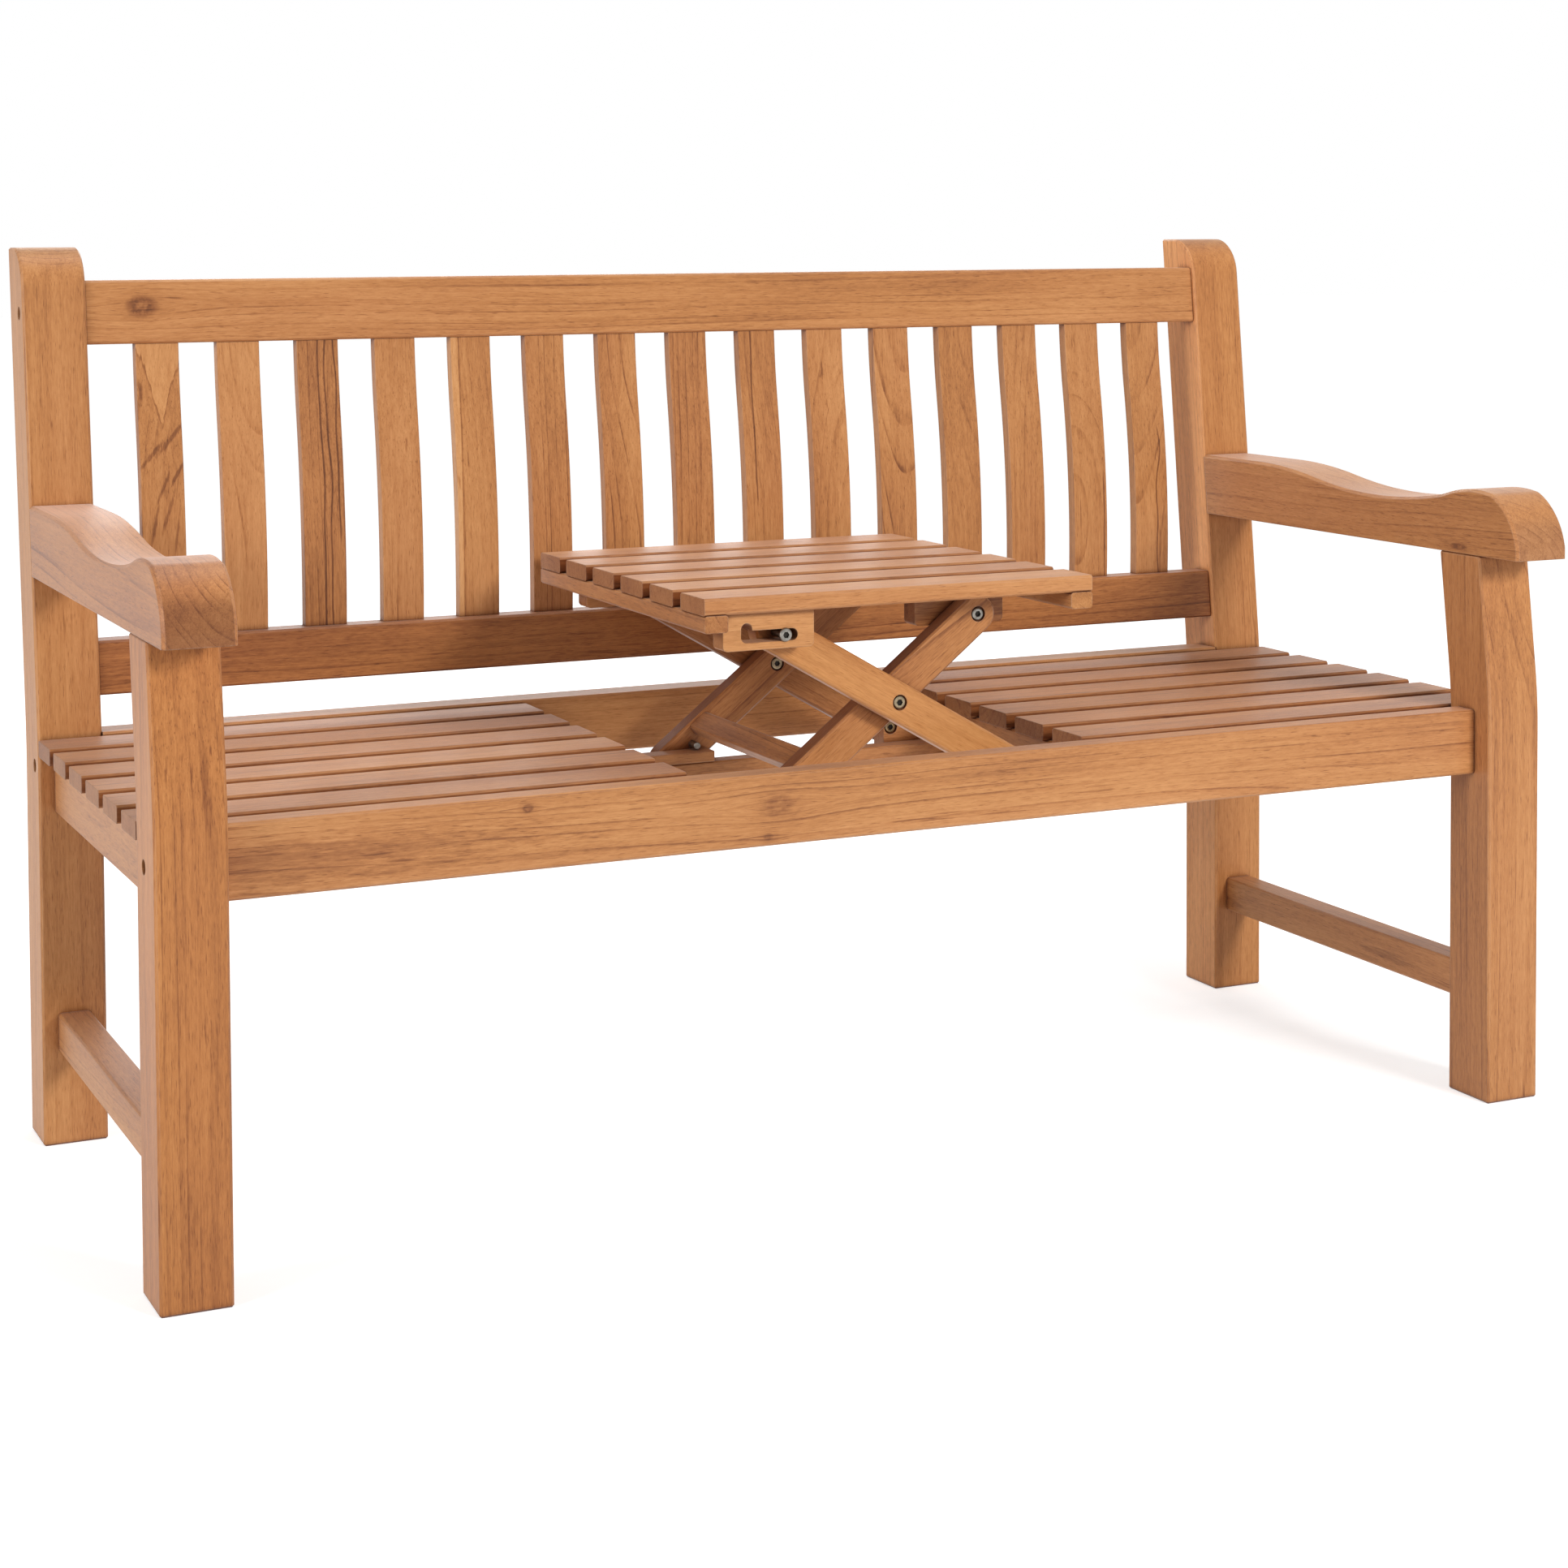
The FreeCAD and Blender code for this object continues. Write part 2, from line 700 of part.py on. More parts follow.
def slide_block_tools(side):
    """The L-shaped slot: a level channel with a notch that rises at its outer end."""
    left = f"{TABLE_LEFT} + slide_slot_left"
    right = f"{TABLE_LEFT} + slide_slot_right"
    low = f"{UPPER_Z} - slide_slot_height / 2"
    high = f"{UPPER_Z} + slide_slot_height / 2"
    radius = "slide_slot_height / 2"
    notch = "slide_notch_width / 2"
    place = ("0", layer_y(side, "block_thickness / 2"), "0")
    channel = prism(f"slide_channel_{side}", "XZ_Plane", [
        (f"{left} + {radius}", low),
        (f"{right} - {radius}", low),
        ("via", right, UPPER_Z),
        (f"{right} - {radius}", high),
        (f"{left} + {radius}", high),
        ("via", left, UPPER_Z),
    ], "2 * block_thickness", place)
    top = f"{high} + slide_notch_rise - {notch}"
    riser = prism(f"slide_notch_{side}", "XZ_Plane", [
        (left, UPPER_Z),
        (f"{left} + 2 * {notch}", UPPER_Z),
        (f"{left} + 2 * {notch}", top),
        ("via", f"{left} + {notch}", f"{top} + {notch}"),
        (left, top),
    ], "2 * block_thickness", place)
    return [channel, riser]


def block_blank(name, side, depth, low, high):
    """A block under the table with its two lower corners rounded."""
    thickness = "arm_bar_thickness" if depth == INNER_LAYER else "block_thickness"
    place = ("0", layer_y(side, f"{depth} + {thickness} / 2"), "0")
    body = prism(name, "XZ_Plane", rectangle(low, high), thickness, place)
    for across in (low[0], high[0]):
        ease(body, "block_corner", edges_at(across, low[1], Y_AXIS))
    return body


def pivot_slot(side):
    """The short slot that lets the table shift on its pivot bolts."""
    radius = "bolt_radius + slot_clearance"
    low = f"{UPPER_Z} - ({radius})"
    high = f"{UPPER_Z} + ({radius})"
    right = f"{TABLE_PIVOT_X} + table_slide"
    place = ("0", layer_y(side, f"{INSIDE_LAYER} + block_thickness / 2"), "0")
    return prism(f"pivot_slot_{side}", "XZ_Plane", [
        (TABLE_PIVOT_X, low),
        (right, low),
        ("via", f"{right} + {radius}", UPPER_Z),
        (right, high),
        (TABLE_PIVOT_X, high),
        ("via", f"{TABLE_PIVOT_X} - ({radius})", UPPER_Z),
    ], "2 * block_thickness", place)


def build_table_blocks():
    slide_blocks = []
    pivot_blocks = []
    for side in ("front", "rear"):
        left = f"{TABLE_LEFT} + batten_width + slide_block_gap"
        low = (left, f"{TABLE_TOP} - slide_block_drop")
        high = (f"{left} + slide_block_width", TABLE_UNDER)
        blank = block_blank(f"slide_block_{side}", side, SLIDE_LAYER, low, high)
        slide_blocks.append(cut(f"slide_block_{side}_cut", blank, slide_block_tools(side)))
        low = (f"{TABLE_PIVOT_X} - pivot_block_left", f"{UPPER_Z} - pivot_block_below")
        high = (f"{TABLE_PIVOT_X} + pivot_block_right", TABLE_UNDER)
        blank = block_blank(f"pivot_block_{side}", side, INSIDE_LAYER, low, high)
        pivot_blocks.append(cut(f"pivot_block_{side}_cut", blank, [pivot_slot(side)]))
    keep(group("slide_blocks", slide_blocks), "table_slide_blocks")
    keep(group("pivot_blocks", pivot_blocks), "table_pivot_blocks")


# Base of the scissor frame, between the two seat bearers

def build_base():
    inside = f"{INSIDE_LAYER} + block_thickness / 2"
    length = "(opening_width + 2 * bearer_inset)"
    pivot_blocks = []
    runner_blocks = []
    for side in ("front", "rear"):
        place = ("0", layer_y(side, inside), "0")
        node = f"base_rail_{side}"
        low = ("-block_thickness / 2", BASE_RAIL_BOTTOM)
        high = ("block_thickness / 2", BASE_RAIL_TOP)
        keep(bar_x(node, low, high, length, place), node)
        pivot_blocks.append(build_base_pivot_block(side))
        low = (f"{RUNNER_BOLT_LOW_X} - runner_overrun", BASE_RAIL_TOP)
        high = (f"{RUNNER_BOLT_X} + runner_overrun", RUNNER_TOP)
        runner_blocks.append(prism(f"base_runner_{side}", "XZ_Plane", rectangle(low, high),
                                   "block_thickness", place))
    keep(group("base_blocks", pivot_blocks), "base_pivot_blocks")
    keep(group("base_runners", runner_blocks), "base_runner_blocks")


def build_base_pivot_block(side):
    """The block that carries an outer arm, fixed to the outer side of the base rail and
    low at its tail to clear the table's batten."""
    left = f"{BASE_PIVOT_X} - base_block_left"
    right = f"{BASE_PIVOT_X} + base_block_right"
    shoulder = f"{BASE_PIVOT_X} + base_block_step"
    tail = f"{BASE_RAIL_TOP} + base_block_tail"
    top = f"{BASE_PIVOT_Z} + base_block_above"
    outline = [
        (left, BASE_RAIL_BOTTOM),
        (right, BASE_RAIL_BOTTOM),
        (right, tail),
        (f"{shoulder} + base_block_slope", tail),
        (shoulder, top),
        (left, top),
    ]
    name = f"base_pivot_{side}"
    place = ("0", layer_y(side, f"{INNER_LAYER} + {BASE_BLOCK_THICKNESS} / 2"), "0")
    blank = prism(name, "XZ_Plane", outline, BASE_BLOCK_THICKNESS, place)
    tools = pivot_tools(name, side, INNER_LAYER, BASE_PIVOT_X, BASE_PIVOT_Z,
                        "bolt_radius", "inner", BASE_BLOCK_THICKNESS)
    return cut(name + "_cut", blank, tools)


# Scissor arms

def pivot_tools(name, side, depth, x, z, bore, recess_face, reach="arm_bar_thickness"):
    """A bore along Y through one layer, with a recess for the bolt head on one face."""
    near = f"({depth})" if side == "front" else f"({depth} + {reach})"
    tools = [cylinder(name + "_bore", "Y", bore, reach, (x, layer_y(side, near), z))]
    if recess_face == "outer":
        start = depth
    else:
        start = f"({depth} + {reach} - head_recess_depth)"
    if side == "rear":
        start = f"({start} + head_recess_depth)"
    tools.append(cylinder(name + "_recess", "Y", "head_recess_radius", "head_recess_depth",
                          (x, layer_y(side, start), z)))
    return tools


def arm_blank(name, side, depth, low_reach, high_reach, angle, axis):
    """A flat bar with round ends, turned about the place where the arms cross."""
    radius = "arm_bar_width / 2"
    outline = [
        (f"-{low_reach}", f"-{radius}"),
        (high_reach, f"-{radius}"),
        ("via", f"{high_reach} + {radius}", "0"),
        (high_reach, radius),
        (f"-{low_reach}", radius),
        ("via", f"-{low_reach} - {radius}", "0"),
    ]
    place = (CROSSING_X, layer_y(side, f"{depth} + arm_bar_thickness / 2"), CROSSING_Z)
    body = prism(name, "XZ_Plane", outline, "arm_bar_thickness", place)
    bevel(body, "arm_bar_edge", lambda edge: not is_parallel(edge, Y_AXIS))
    body.Placement.Rotation = FreeCAD.Rotation(axis, 30)
    bind(body, "Placement.Rotation.Angle", angle)
    return body


def build_arms():
    loose = "bolt_radius + bore_clearance"
    for side in ("front", "rear"):
        name = f"outer_arm_{side}"
        blank = arm_blank(name + "_bar", side, OUTER_LAYER, "outer_arm_half",
                          "outer_arm_half", OUTER_ANGLE, Y_AXIS)
        tools = pivot_tools(name + "_crossing", side, OUTER_LAYER, CROSSING_X, CROSSING_Z,
                            "bolt_radius", "outer")
        tools += pivot_tools(name + "_base", side, OUTER_LAYER, BASE_PIVOT_X,
                             BASE_PIVOT_Z, loose, "outer")
        tools += pivot_tools(name + "_slide", side, OUTER_LAYER, SLIDE_BOLT_X, UPPER_Z,
                             "bolt_radius", "inner")
        keep(cut(name + "_cut", blank, tools), name)
        name = f"inner_arm_{side}"
        blank = arm_blank(name + "_bar", side, INNER_LAYER,
                          "(inner_arm_half + inner_arm_tail)", "inner_arm_half",
                          INNER_ANGLE, -Y_AXIS)
        tools = pivot_tools(name + "_crossing", side, INNER_LAYER, CROSSING_X, CROSSING_Z,
                            loose, "inner")
        tools += pivot_tools(name + "_table", side, INNER_LAYER, TABLE_PIVOT_X, UPPER_Z,
                             loose, "outer")
        tools += pivot_tools(name + "_runner", side, INNER_LAYER, RUNNER_BOLT_X,
                             BASE_PIVOT_Z, "bolt_radius", "outer")
        keep(cut(name + "_cut", blank, tools), name)


def build_cross_bar():
    """The bar that ties the two inner arms together, on their lower halves."""
    front = layer_y("front", INSIDE_LAYER + " - plane_gap")
    rear = layer_y("rear", INSIDE_LAYER + " - plane_gap")
    low = ("-cross_bar_start - cross_bar_width", "cross_bar_offset")
    high = ("-cross_bar_start", "cross_bar_offset + cross_bar_thickness")
    place = (CROSSING_X, f"({front} + {rear}) / 2", CROSSING_Z)
    body = prism("cross_bar", "XZ_Plane", rectangle(low, high), f"({rear} - {front})", place)
    body.Placement.Rotation = FreeCAD.Rotation(-Y_AXIS, 30)
    bind(body, "Placement.Rotation.Angle", INNER_ANGLE)
    bevel(body, "wood_edge", lambda edge: is_parallel(edge, Y_AXIS))
    keep(body, "cross_bar")


# Fasteners

def build_connector(name, x, z, low, high):
    """A bolt and its sleeve nut, which meet halfway between two head seats."""
    middle = f"(({low} + {high}) / 2)"
    bolt = fuse(name + "_bolt", [
        cylinder(name + "_bolt_head", "Y", "bolt_head_radius", "bolt_head_height",
                 (x, f"{low} - bolt_head_height", z)),
        cylinder(name + "_bolt_shank", "Y", "bolt_radius", f"{middle} - {low}", (x, low, z)),
    ])
    nut = fuse(name + "_nut", [
        cylinder(name + "_nut_head", "Y", "bolt_head_radius", "bolt_head_height", (x, high, z)),
        cylinder(name + "_nut_shank", "Y", "bolt_radius", f"{high} - {middle}",
                 (x, middle, z)),
    ])
    return [bolt, nut]


def build_pivot_bolts():
    outer_seat = f"({OUTER_LAYER} + head_recess_depth)"
    inner_seat = f"({INNER_LAYER} + arm_bar_thickness - head_recess_depth)"
    base_seat = f"({INSIDE_LAYER} - head_recess_depth)"
    far_seat = f"({INSIDE_LAYER} + block_thickness)"
    table_seat = f"({INNER_LAYER} + head_recess_depth)"
    slide_seat = f"({OUTER_LAYER} + arm_bar_thickness - head_recess_depth)"
    kinds = {
        "crossing_bolts": (CROSSING_X, CROSSING_Z, outer_seat, inner_seat),
        "base_pivot_bolts": (BASE_PIVOT_X, BASE_PIVOT_Z, outer_seat, base_seat),
        "table_pivot_bolts": (TABLE_PIVOT_X, UPPER_Z, table_seat, far_seat),
        "upper_slide_bolts": (SLIDE_BOLT_X, UPPER_Z, SLIDE_LAYER, slide_seat),
    }
    for node, (x, z, near, far) in kinds.items():
        solids = []
        for side in ("front", "rear"):
            ends = [layer_y(side, near), layer_y(side, far)]
            if side == "rear":
                ends.reverse()
            solids += build_connector(f"{node}_{side}", x, z, ends[0], ends[1])
        keep(group(node + "_set", solids), node)


def build_runner_pins():
    """The inner arms' lower bolts, whose plain ends ride on the base runners."""
    seat = f"({INNER_LAYER} + head_recess_depth)"
    length = f"({INSIDE_LAYER} + runner_pin_reach - {seat})"
    pins = []
    for side in ("front", "rear"):
        name = f"runner_pin_{side}"
        if side == "front":
            head_y = f"{layer_y(side, seat)} - bolt_head_height"
            shank_y = layer_y(side, seat)
        else:
            head_y = layer_y(side, seat)
            shank_y = f"{layer_y(side, seat)} - {length}"
        pins.append(fuse(name, [
            cylinder(name + "_head", "Y", "bolt_head_radius", "bolt_head_height",
                     (RUNNER_BOLT_X, head_y, BASE_PIVOT_Z)),
            cylinder(name + "_shank", "Y", "bolt_radius", length,
                     (RUNNER_BOLT_X, shank_y, BASE_PIVOT_Z)),
        ]))
    keep(group("runner_pins", pins), "lower_slide_bolts")


def build_frame_bolts():
    """Bolts sunk in the legs' outer faces, which pull the long rails tight."""
    solids = []
    for side in (-1, 1):
        for bolt, (y, z) in FRAME_BOLTS.items():
            name = f"frame_bolt_{bolt}_{'left' if side < 0 else 'right'}"
            floor = "(bench_width / 2 - frame_bolt_recess_depth)"
            if side < 0:
                head_x = f"-{floor} - frame_bolt_head_height"
                shank_x = f"-{floor}"
            else:
                head_x = floor
                shank_x = f"{floor} - frame_bolt_reach"
            solids.append(fuse(name, [
                cylinder(name + "_head", "X", "frame_bolt_head_radius",
                         "frame_bolt_head_height", (head_x, y, z)),
                cylinder(name + "_shank", "X", "frame_bolt_radius", "frame_bolt_reach",
                         (shank_x, y, z)),
            ]))
    keep(group("frame_bolt_set", solids), "frame_bolts")


build_legs()
build_armrests()
build_rails()
build_back_slats()
build_seats()
build_table_top()
build_table_blocks()
build_base()
build_arms()
build_cross_bar()
build_pivot_bolts()
build_runner_pins()
build_frame_bolts()
doc.recompute()

# Check every object, then write one file for each piece

for item in doc.Objects:
    if "Invalid" in item.State or "Error" in item.State:
        raise RuntimeError(f"{item.Label} failed: {item.State}")
for item in parts:
    if item.Shape.isNull() or not item.Shape.isValid():
        raise RuntimeError(f"{item.Label} has no valid shape")

os.makedirs("parts", exist_ok=True)
for item in parts:
    item.Shape.exportStep(f"parts/{item.Label}.step")
print(len(parts), "pieces written")
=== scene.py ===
import json
import math
import random

import bmesh
import bpy
from mathutils import Euler, Matrix, Vector


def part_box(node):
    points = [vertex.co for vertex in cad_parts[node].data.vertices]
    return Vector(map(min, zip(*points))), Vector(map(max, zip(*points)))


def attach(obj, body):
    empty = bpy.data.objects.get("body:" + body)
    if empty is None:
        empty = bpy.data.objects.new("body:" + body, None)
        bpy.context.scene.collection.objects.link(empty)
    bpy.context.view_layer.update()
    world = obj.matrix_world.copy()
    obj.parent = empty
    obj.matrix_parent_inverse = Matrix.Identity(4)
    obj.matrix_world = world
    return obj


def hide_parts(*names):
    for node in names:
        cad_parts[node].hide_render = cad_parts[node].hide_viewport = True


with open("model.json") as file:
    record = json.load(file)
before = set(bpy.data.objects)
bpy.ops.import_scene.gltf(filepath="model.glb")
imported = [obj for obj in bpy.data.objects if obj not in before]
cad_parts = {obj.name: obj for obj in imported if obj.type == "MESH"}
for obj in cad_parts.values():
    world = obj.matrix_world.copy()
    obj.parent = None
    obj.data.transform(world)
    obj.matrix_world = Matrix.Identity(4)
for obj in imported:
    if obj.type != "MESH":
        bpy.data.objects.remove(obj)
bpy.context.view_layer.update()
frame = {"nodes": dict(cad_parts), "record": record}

scene = bpy.context.scene
nodes = frame["nodes"]
bodies_of = {node: body for body, members in frame["record"]["behaviour"]["bodies"].items()
             for node in members}


# Shader graph helpers

class Graph:
    """Adds nodes to a shader tree; every method gives back the new node's output."""

    def __init__(self, tree):
        self.tree = tree
        tree.nodes.clear()

    def add(self, kind, inputs=None, output=0, **settings):
        node = self.tree.nodes.new(kind)
        for name, setting in settings.items():
            setattr(node, name, setting)
        for name, source in (inputs or {}).items():
            self.feed(node.inputs[name], source)
        return node.outputs[output] if node.outputs else node

    def feed(self, socket, source):
        if isinstance(source, bpy.types.NodeSocket):
            self.tree.links.new(source, socket)
        else:
            socket.default_value = source

    def math(self, operation, first, second=0.0):
        return self.add("ShaderNodeMath", {0: first, 1: second}, operation=operation)

    def vector(self, operation, first, second=(0, 0, 0), output=0):
        return self.add("ShaderNodeVectorMath", {0: first, 1: second}, output,
                        operation=operation)

    def split(self, vector, axis):
        """One coordinate of a vector; axis 0 is X."""
        return self.add("ShaderNodeSeparateXYZ", {0: vector}, axis)

    def length(self, vector, stretch):
        """Length of a vector, whose axes are stretched first."""
        return self.vector("LENGTH", self.vector("MULTIPLY", vector, stretch), output=1)

    def facing(self, normal, direction):
        """Cosine of the angle between a normal and a fixed direction."""
        return self.vector("DOT_PRODUCT", normal, tuple(direction), 1)

    def noise(self, vector, scale, detail=2.0, roughness=0.5, output=0):
        return self.add("ShaderNodeTexNoise", {
            "Vector": vector, "Scale": scale, "Detail": detail, "Roughness": roughness,
        }, output)

    def swing(self, noise, weight):
        """How far a noise is from its middle, times a weight."""
        return self.math("MULTIPLY", self.math("SUBTRACT", noise, 0.5), weight)

    def remap(self, number, low, high, to_low=0.0, to_high=1.0, smooth=True):
        return self.add("ShaderNodeMapRange", {
            "Value": number, "From Min": low, "From Max": high,
            "To Min": to_low, "To Max": to_high,
        }, interpolation_type="SMOOTHSTEP" if smooth else "LINEAR")

    def mix(self, factor, first, second, blend="MIX"):
        node = self.tree.nodes.new("ShaderNodeMix")
        node.data_type = "RGBA"
        node.blend_type = blend
        for index, source in ((0, factor), (6, first), (7, second)):
            self.feed(node.inputs[index], source)
        return node.outputs[2]

    def tinted(self, colour, tint):
        return self.mix(1.0, colour, (*tint, 1.0), "MULTIPLY")

    def ramp(self, factor, stops):
        node = self.tree.nodes.new("ShaderNodeValToRGB")
        self.tree.links.new(factor, node.inputs[0])
        elements = node.color_ramp.elements
        while len(elements) < len(stops):
            elements.new(0.5)
        for element, (place, colour) in zip(elements, stops):
            element.position = place
            element.color = (*colour, 1.0)
        return node.outputs[0]

    def seen_directly(self):
        """1 for what the camera sees, itself or by a reflection or through glass."""
        paths = self.tree.nodes.new("ShaderNodeLightPath")
        seen = self.math("MAXIMUM", paths.outputs["Is Camera Ray"],
                         paths.outputs["Is Glossy Ray"])
        return self.math("MAXIMUM", seen, paths.outputs["Is Transmission Ray"])

    def surface(self, shader):
        self.add("ShaderNodeOutputMaterial", {"Surface": shader})


def new_graph(name):
    material = bpy.data.materials.new(name)
    material.use_nodes = True
    return material, Graph(material.node_tree)


# Teak: growth rings round a pith outside the board, fibres, pores and end grain

# colour by how light the wood is, from 0 to 1
TEAK_STOPS = [
    (0.0, (0.100, 0.036, 0.017)),
    (0.28, (0.262, 0.098, 0.037)),
    (0.50, (0.470, 0.202, 0.072)),
    (0.70, (0.600, 0.290, 0.116)),
    (1.0, (0.740, 0.420, 0.200)),
]
REDDER_TO_YELLOWER = [(0.0, (0.86, 0.74, 0.72)), (1.0, (1.0, 1.0, 0.86))]
HUE_SHARE = 0.22
EDGE_TONE = (0.66, 0.47, 0.35, 1.0)
EDGE_WEAR = 0.30
EDGE_RADIUS = 0.0022
END_TINT = (0.70, 0.66, 0.66)
# colour of the painted shade on shaded sides
SIDE_SHADE_TINT = (0.40, 0.27, 0.22)
# colour of the painted light on one lit side
SIDE_LIGHT_TINT = (1.62, 1.76, 1.90)
# painted shade in crevices and between pieces that nearly touch, and how far it reaches
CREVICE_SHADE_TINT = (0.28, 0.16, 0.11)
CREVICE_SHADE_REACH = 0.012
SHEEN_TINT = (1.0, 0.84, 0.78, 1.0)
# the turn that brings a board's long axis to X
TURN_TO_GRAIN = {
    "X": Euler((0, 0, 0)),
    "Y": Euler((0, 0, math.radians(-90))),
    "Z": Euler((0, math.radians(90), 0)),
}

# scale along and across the grain, detail and roughness of each fine pattern
PATTERNS = {
    "soft": ((5, 60, 60), 2.0, 0.5),
    "streak": ((2.6, 130, 130), 3.0, 0.6),
    "fibre": ((16, 800, 800), 3.0, 0.6),
    "pore": ((75, 1500, 1500), 1.0, 0.5),
    "fleck": ((9, 200, 200), 2.0, 0.5),
    "speck": ((70, 420, 420), 3.0, 0.7),
    "ragged": ((28, 260, 260), 4.0, 0.7),
}
CLOUD_SCALE = (2.4, 12, 12)
HUE_SCALE = (1.7, 16, 16)
WANDER_SCALE = (1.3, 7, 7)

# nearest and farthest distance of the pith from a board's middle
PITH_FAR = (0.05, 0.11)
RING_UNEVEN = 2.6

# how far the boards of one node lie apart in the log, and in tone
ROW_APART = (4, 0.06, 0.03)
ROW_TONES = 0.16
ROW_PHASE = 0.37

# cosines between which a face comes to count as a side, or as end grain
SQUARE_ON = (0.55, 0.92)
END_ON = (0.72, 0.95)
# how much the single marks darken or lighten the wood
HALO_DEPTH = 0.08
LINE_DEPTH = 0.34
ARCH_LIFT, ARCH_RIM = 0.15, 0.20
SAP_LIFT, SAP_RIM = 0.17, 0.28
# length over which a line fades at its ends, and an arch's rise per half width
LINE_FADE = 0.03
ARCH_SLOPE = 3.4


class Teak:
    """The material of one wooden node, drawn in the node's own place in the log."""

    def __init__(self, node):
        self.low, self.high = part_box(node)
        self.middle = (self.low + self.high) / 2
        self.material, self.g = new_graph("teak_" + node)
        here = self.g.add("ShaderNodeTexCoord", output=3)
        self.normal = self.g.add("ShaderNodeTexCoord", output=1)
        self.place = self.g.vector("SUBTRACT", here, tuple(self.middle))

    def lay_grain(self, grain, turn, bend, shift):
        """Turn the board's long axis to X, and shift it along the log."""
        g = self.g
        upright = self.place
        if bend:
            height, slope = bend
            above = g.math("SUBTRACT", g.split(self.place, 2), height - self.middle.z)
            lean_back = g.math("MULTIPLY", g.math("MAXIMUM", above, 0.0), -slope)
            upright = g.vector("ADD", upright, g.add("ShaderNodeCombineXYZ", {1: lean_back}))
        board = TURN_TO_GRAIN[grain].to_matrix() @ Matrix.Rotation(math.radians(-turn), 3, "Y")
        self.grained = g.add("ShaderNodeMapping", {
            "Vector": upright, "Rotation": board.to_euler(), "Location": shift})

    def part_rows(self, start, pitch, seed):
        """Take each board of a row along Y from its own place in the log, and give back
        the tone that each adds."""
        g = self.g
        across = g.split(self.place, 1)
        row = g.math("FLOOR", g.math("DIVIDE", g.math("SUBTRACT", across, start), pitch))
        row = g.math("ADD", row, ROW_PHASE + seed)
        apart = g.add("ShaderNodeTexWhiteNoise", {"W": row}, 1, noise_dimensions="1D")
        apart = g.vector("SUBTRACT", apart, (0.5, 0.5, 0.5))
        self.grained = g.vector("ADD", self.grained, g.vector("MULTIPLY", apart, ROW_APART))
        tone = g.add("ShaderNodeTexWhiteNoise", {"W": row}, 0, noise_dimensions="1D")
        return g.swing(tone, ROW_TONES)

    def away_from(self, point):
        """Way from a point of the bench to the shaded point."""
        here = self.g.vector("ADD", self.place, tuple(self.middle))
        return self.g.vector("SUBTRACT", here, point)

    def away_from_share(self, across, up):
        """The same from a point given in shares of the node's width and height."""
        shares = (across - 0.5, 0.0, up - 0.5)
        point = tuple(share * (top - bottom)
                      for share, top, bottom in zip(shares, self.high, self.low))
        return self.g.vector("SUBTRACT", self.place, point)

    def part_grain(self, centre, size):
        """Part the grain above and below a knot."""
        g = self.g
        away = self.away_from(centre)
        near = g.length(away, (0.35, 0.2, 1))
        bulge = g.math("EXPONENT", g.math("MULTIPLY", g.math("POWER", near, 2.0),
                                          -1 / (2.2 * size) ** 2))
        side = g.math("MULTIPLY", g.math("SIGN", g.split(away, 2)), bulge)
        lift = g.add("ShaderNodeCombineXYZ", {2: g.math("MULTIPLY", side, -0.8 * size)})
        self.grained = g.vector("ADD", self.grained, lift)

    def wander(self, waver):
        """Let the grain wander across the board."""
        g = self.g
        slow = g.vector("MULTIPLY", self.grained, WANDER_SCALE)
        way = g.vector("SUBTRACT", g.noise(slow, 1.0, 1.5, output=1), (0.5, 0.5, 0.5))
        way = g.vector("MULTIPLY", way, (0, waver, waver))
        self.flow = g.vector("ADD", self.grained, way)

    def pattern(self, name):
        """One of the fine patterns, drawn out along the grain."""
        scale, detail, roughness = PATTERNS[name]
        return self.g.noise(self.g.vector("MULTIPLY", self.flow, scale), 1.0, detail, roughness)

    def growth_rings(self, shift, lean, pith, spacing):
        """Dark late wood and the slow darkening before it, from 0 to 1."""
        g = self.g
        log = g.vector("SUBTRACT", self.flow, shift)
        log = g.add("ShaderNodeMapping", {"Vector": log, "Rotation": lean, "Location": pith})
        radius = g.length(log, (0, 1, 1))
        uneven = g.noise(g.add("ShaderNodeCombineXYZ", {0: radius}), 55.0, 1.0)
        ring = g.math("FRACT", g.math("ADD", g.math("DIVIDE", radius, spacing),
                                      g.math("MULTIPLY", uneven, RING_UNEVEN)))
        late = g.math("MULTIPLY", g.remap(ring, 0.78, 0.96), g.remap(ring, 1.0, 0.975))
        early = g.math("MULTIPLY", g.remap(ring, 0.15, 0.93), g.remap(ring, 1.0, 0.95))
        late = g.math("MULTIPLY", late, g.remap(self.pattern("soft"), 0.36, 0.66, 0.05, 1.0))
        return late, early

    def darken(self, share, depth=None):
        """Make the wood darker by a share, times a depth."""
        if depth is not None:
            share = self.g.math("MULTIPLY", share, depth)
        self.value = self.g.math("SUBTRACT", self.value, share)

    def knot(self, centre, size, depth):
        """A dark ragged ring with a lighter heart, in a faint halo."""
        g = self.g
        rough = g.noise(self.place, 190.0, 3.0)
        near = g.length(self.away_from(centre), (0.7, 0.25, 1))
        near = g.math("ADD", near, g.swing(rough, 0.9 * size))
        rim = g.math("MULTIPLY", g.remap(near, 1.5 * size, 0.7 * size),
                     g.remap(near, 0.1 * size, 0.8 * size, 0.55, 1.0))
        rim = g.math("MULTIPLY", rim, g.remap(rough, 0.34, 0.62, 0.45, 1.0))
        self.darken(rim, depth)
        self.darken(g.remap(near, 3.2 * size, 0.8 * size), HALO_DEPTH)

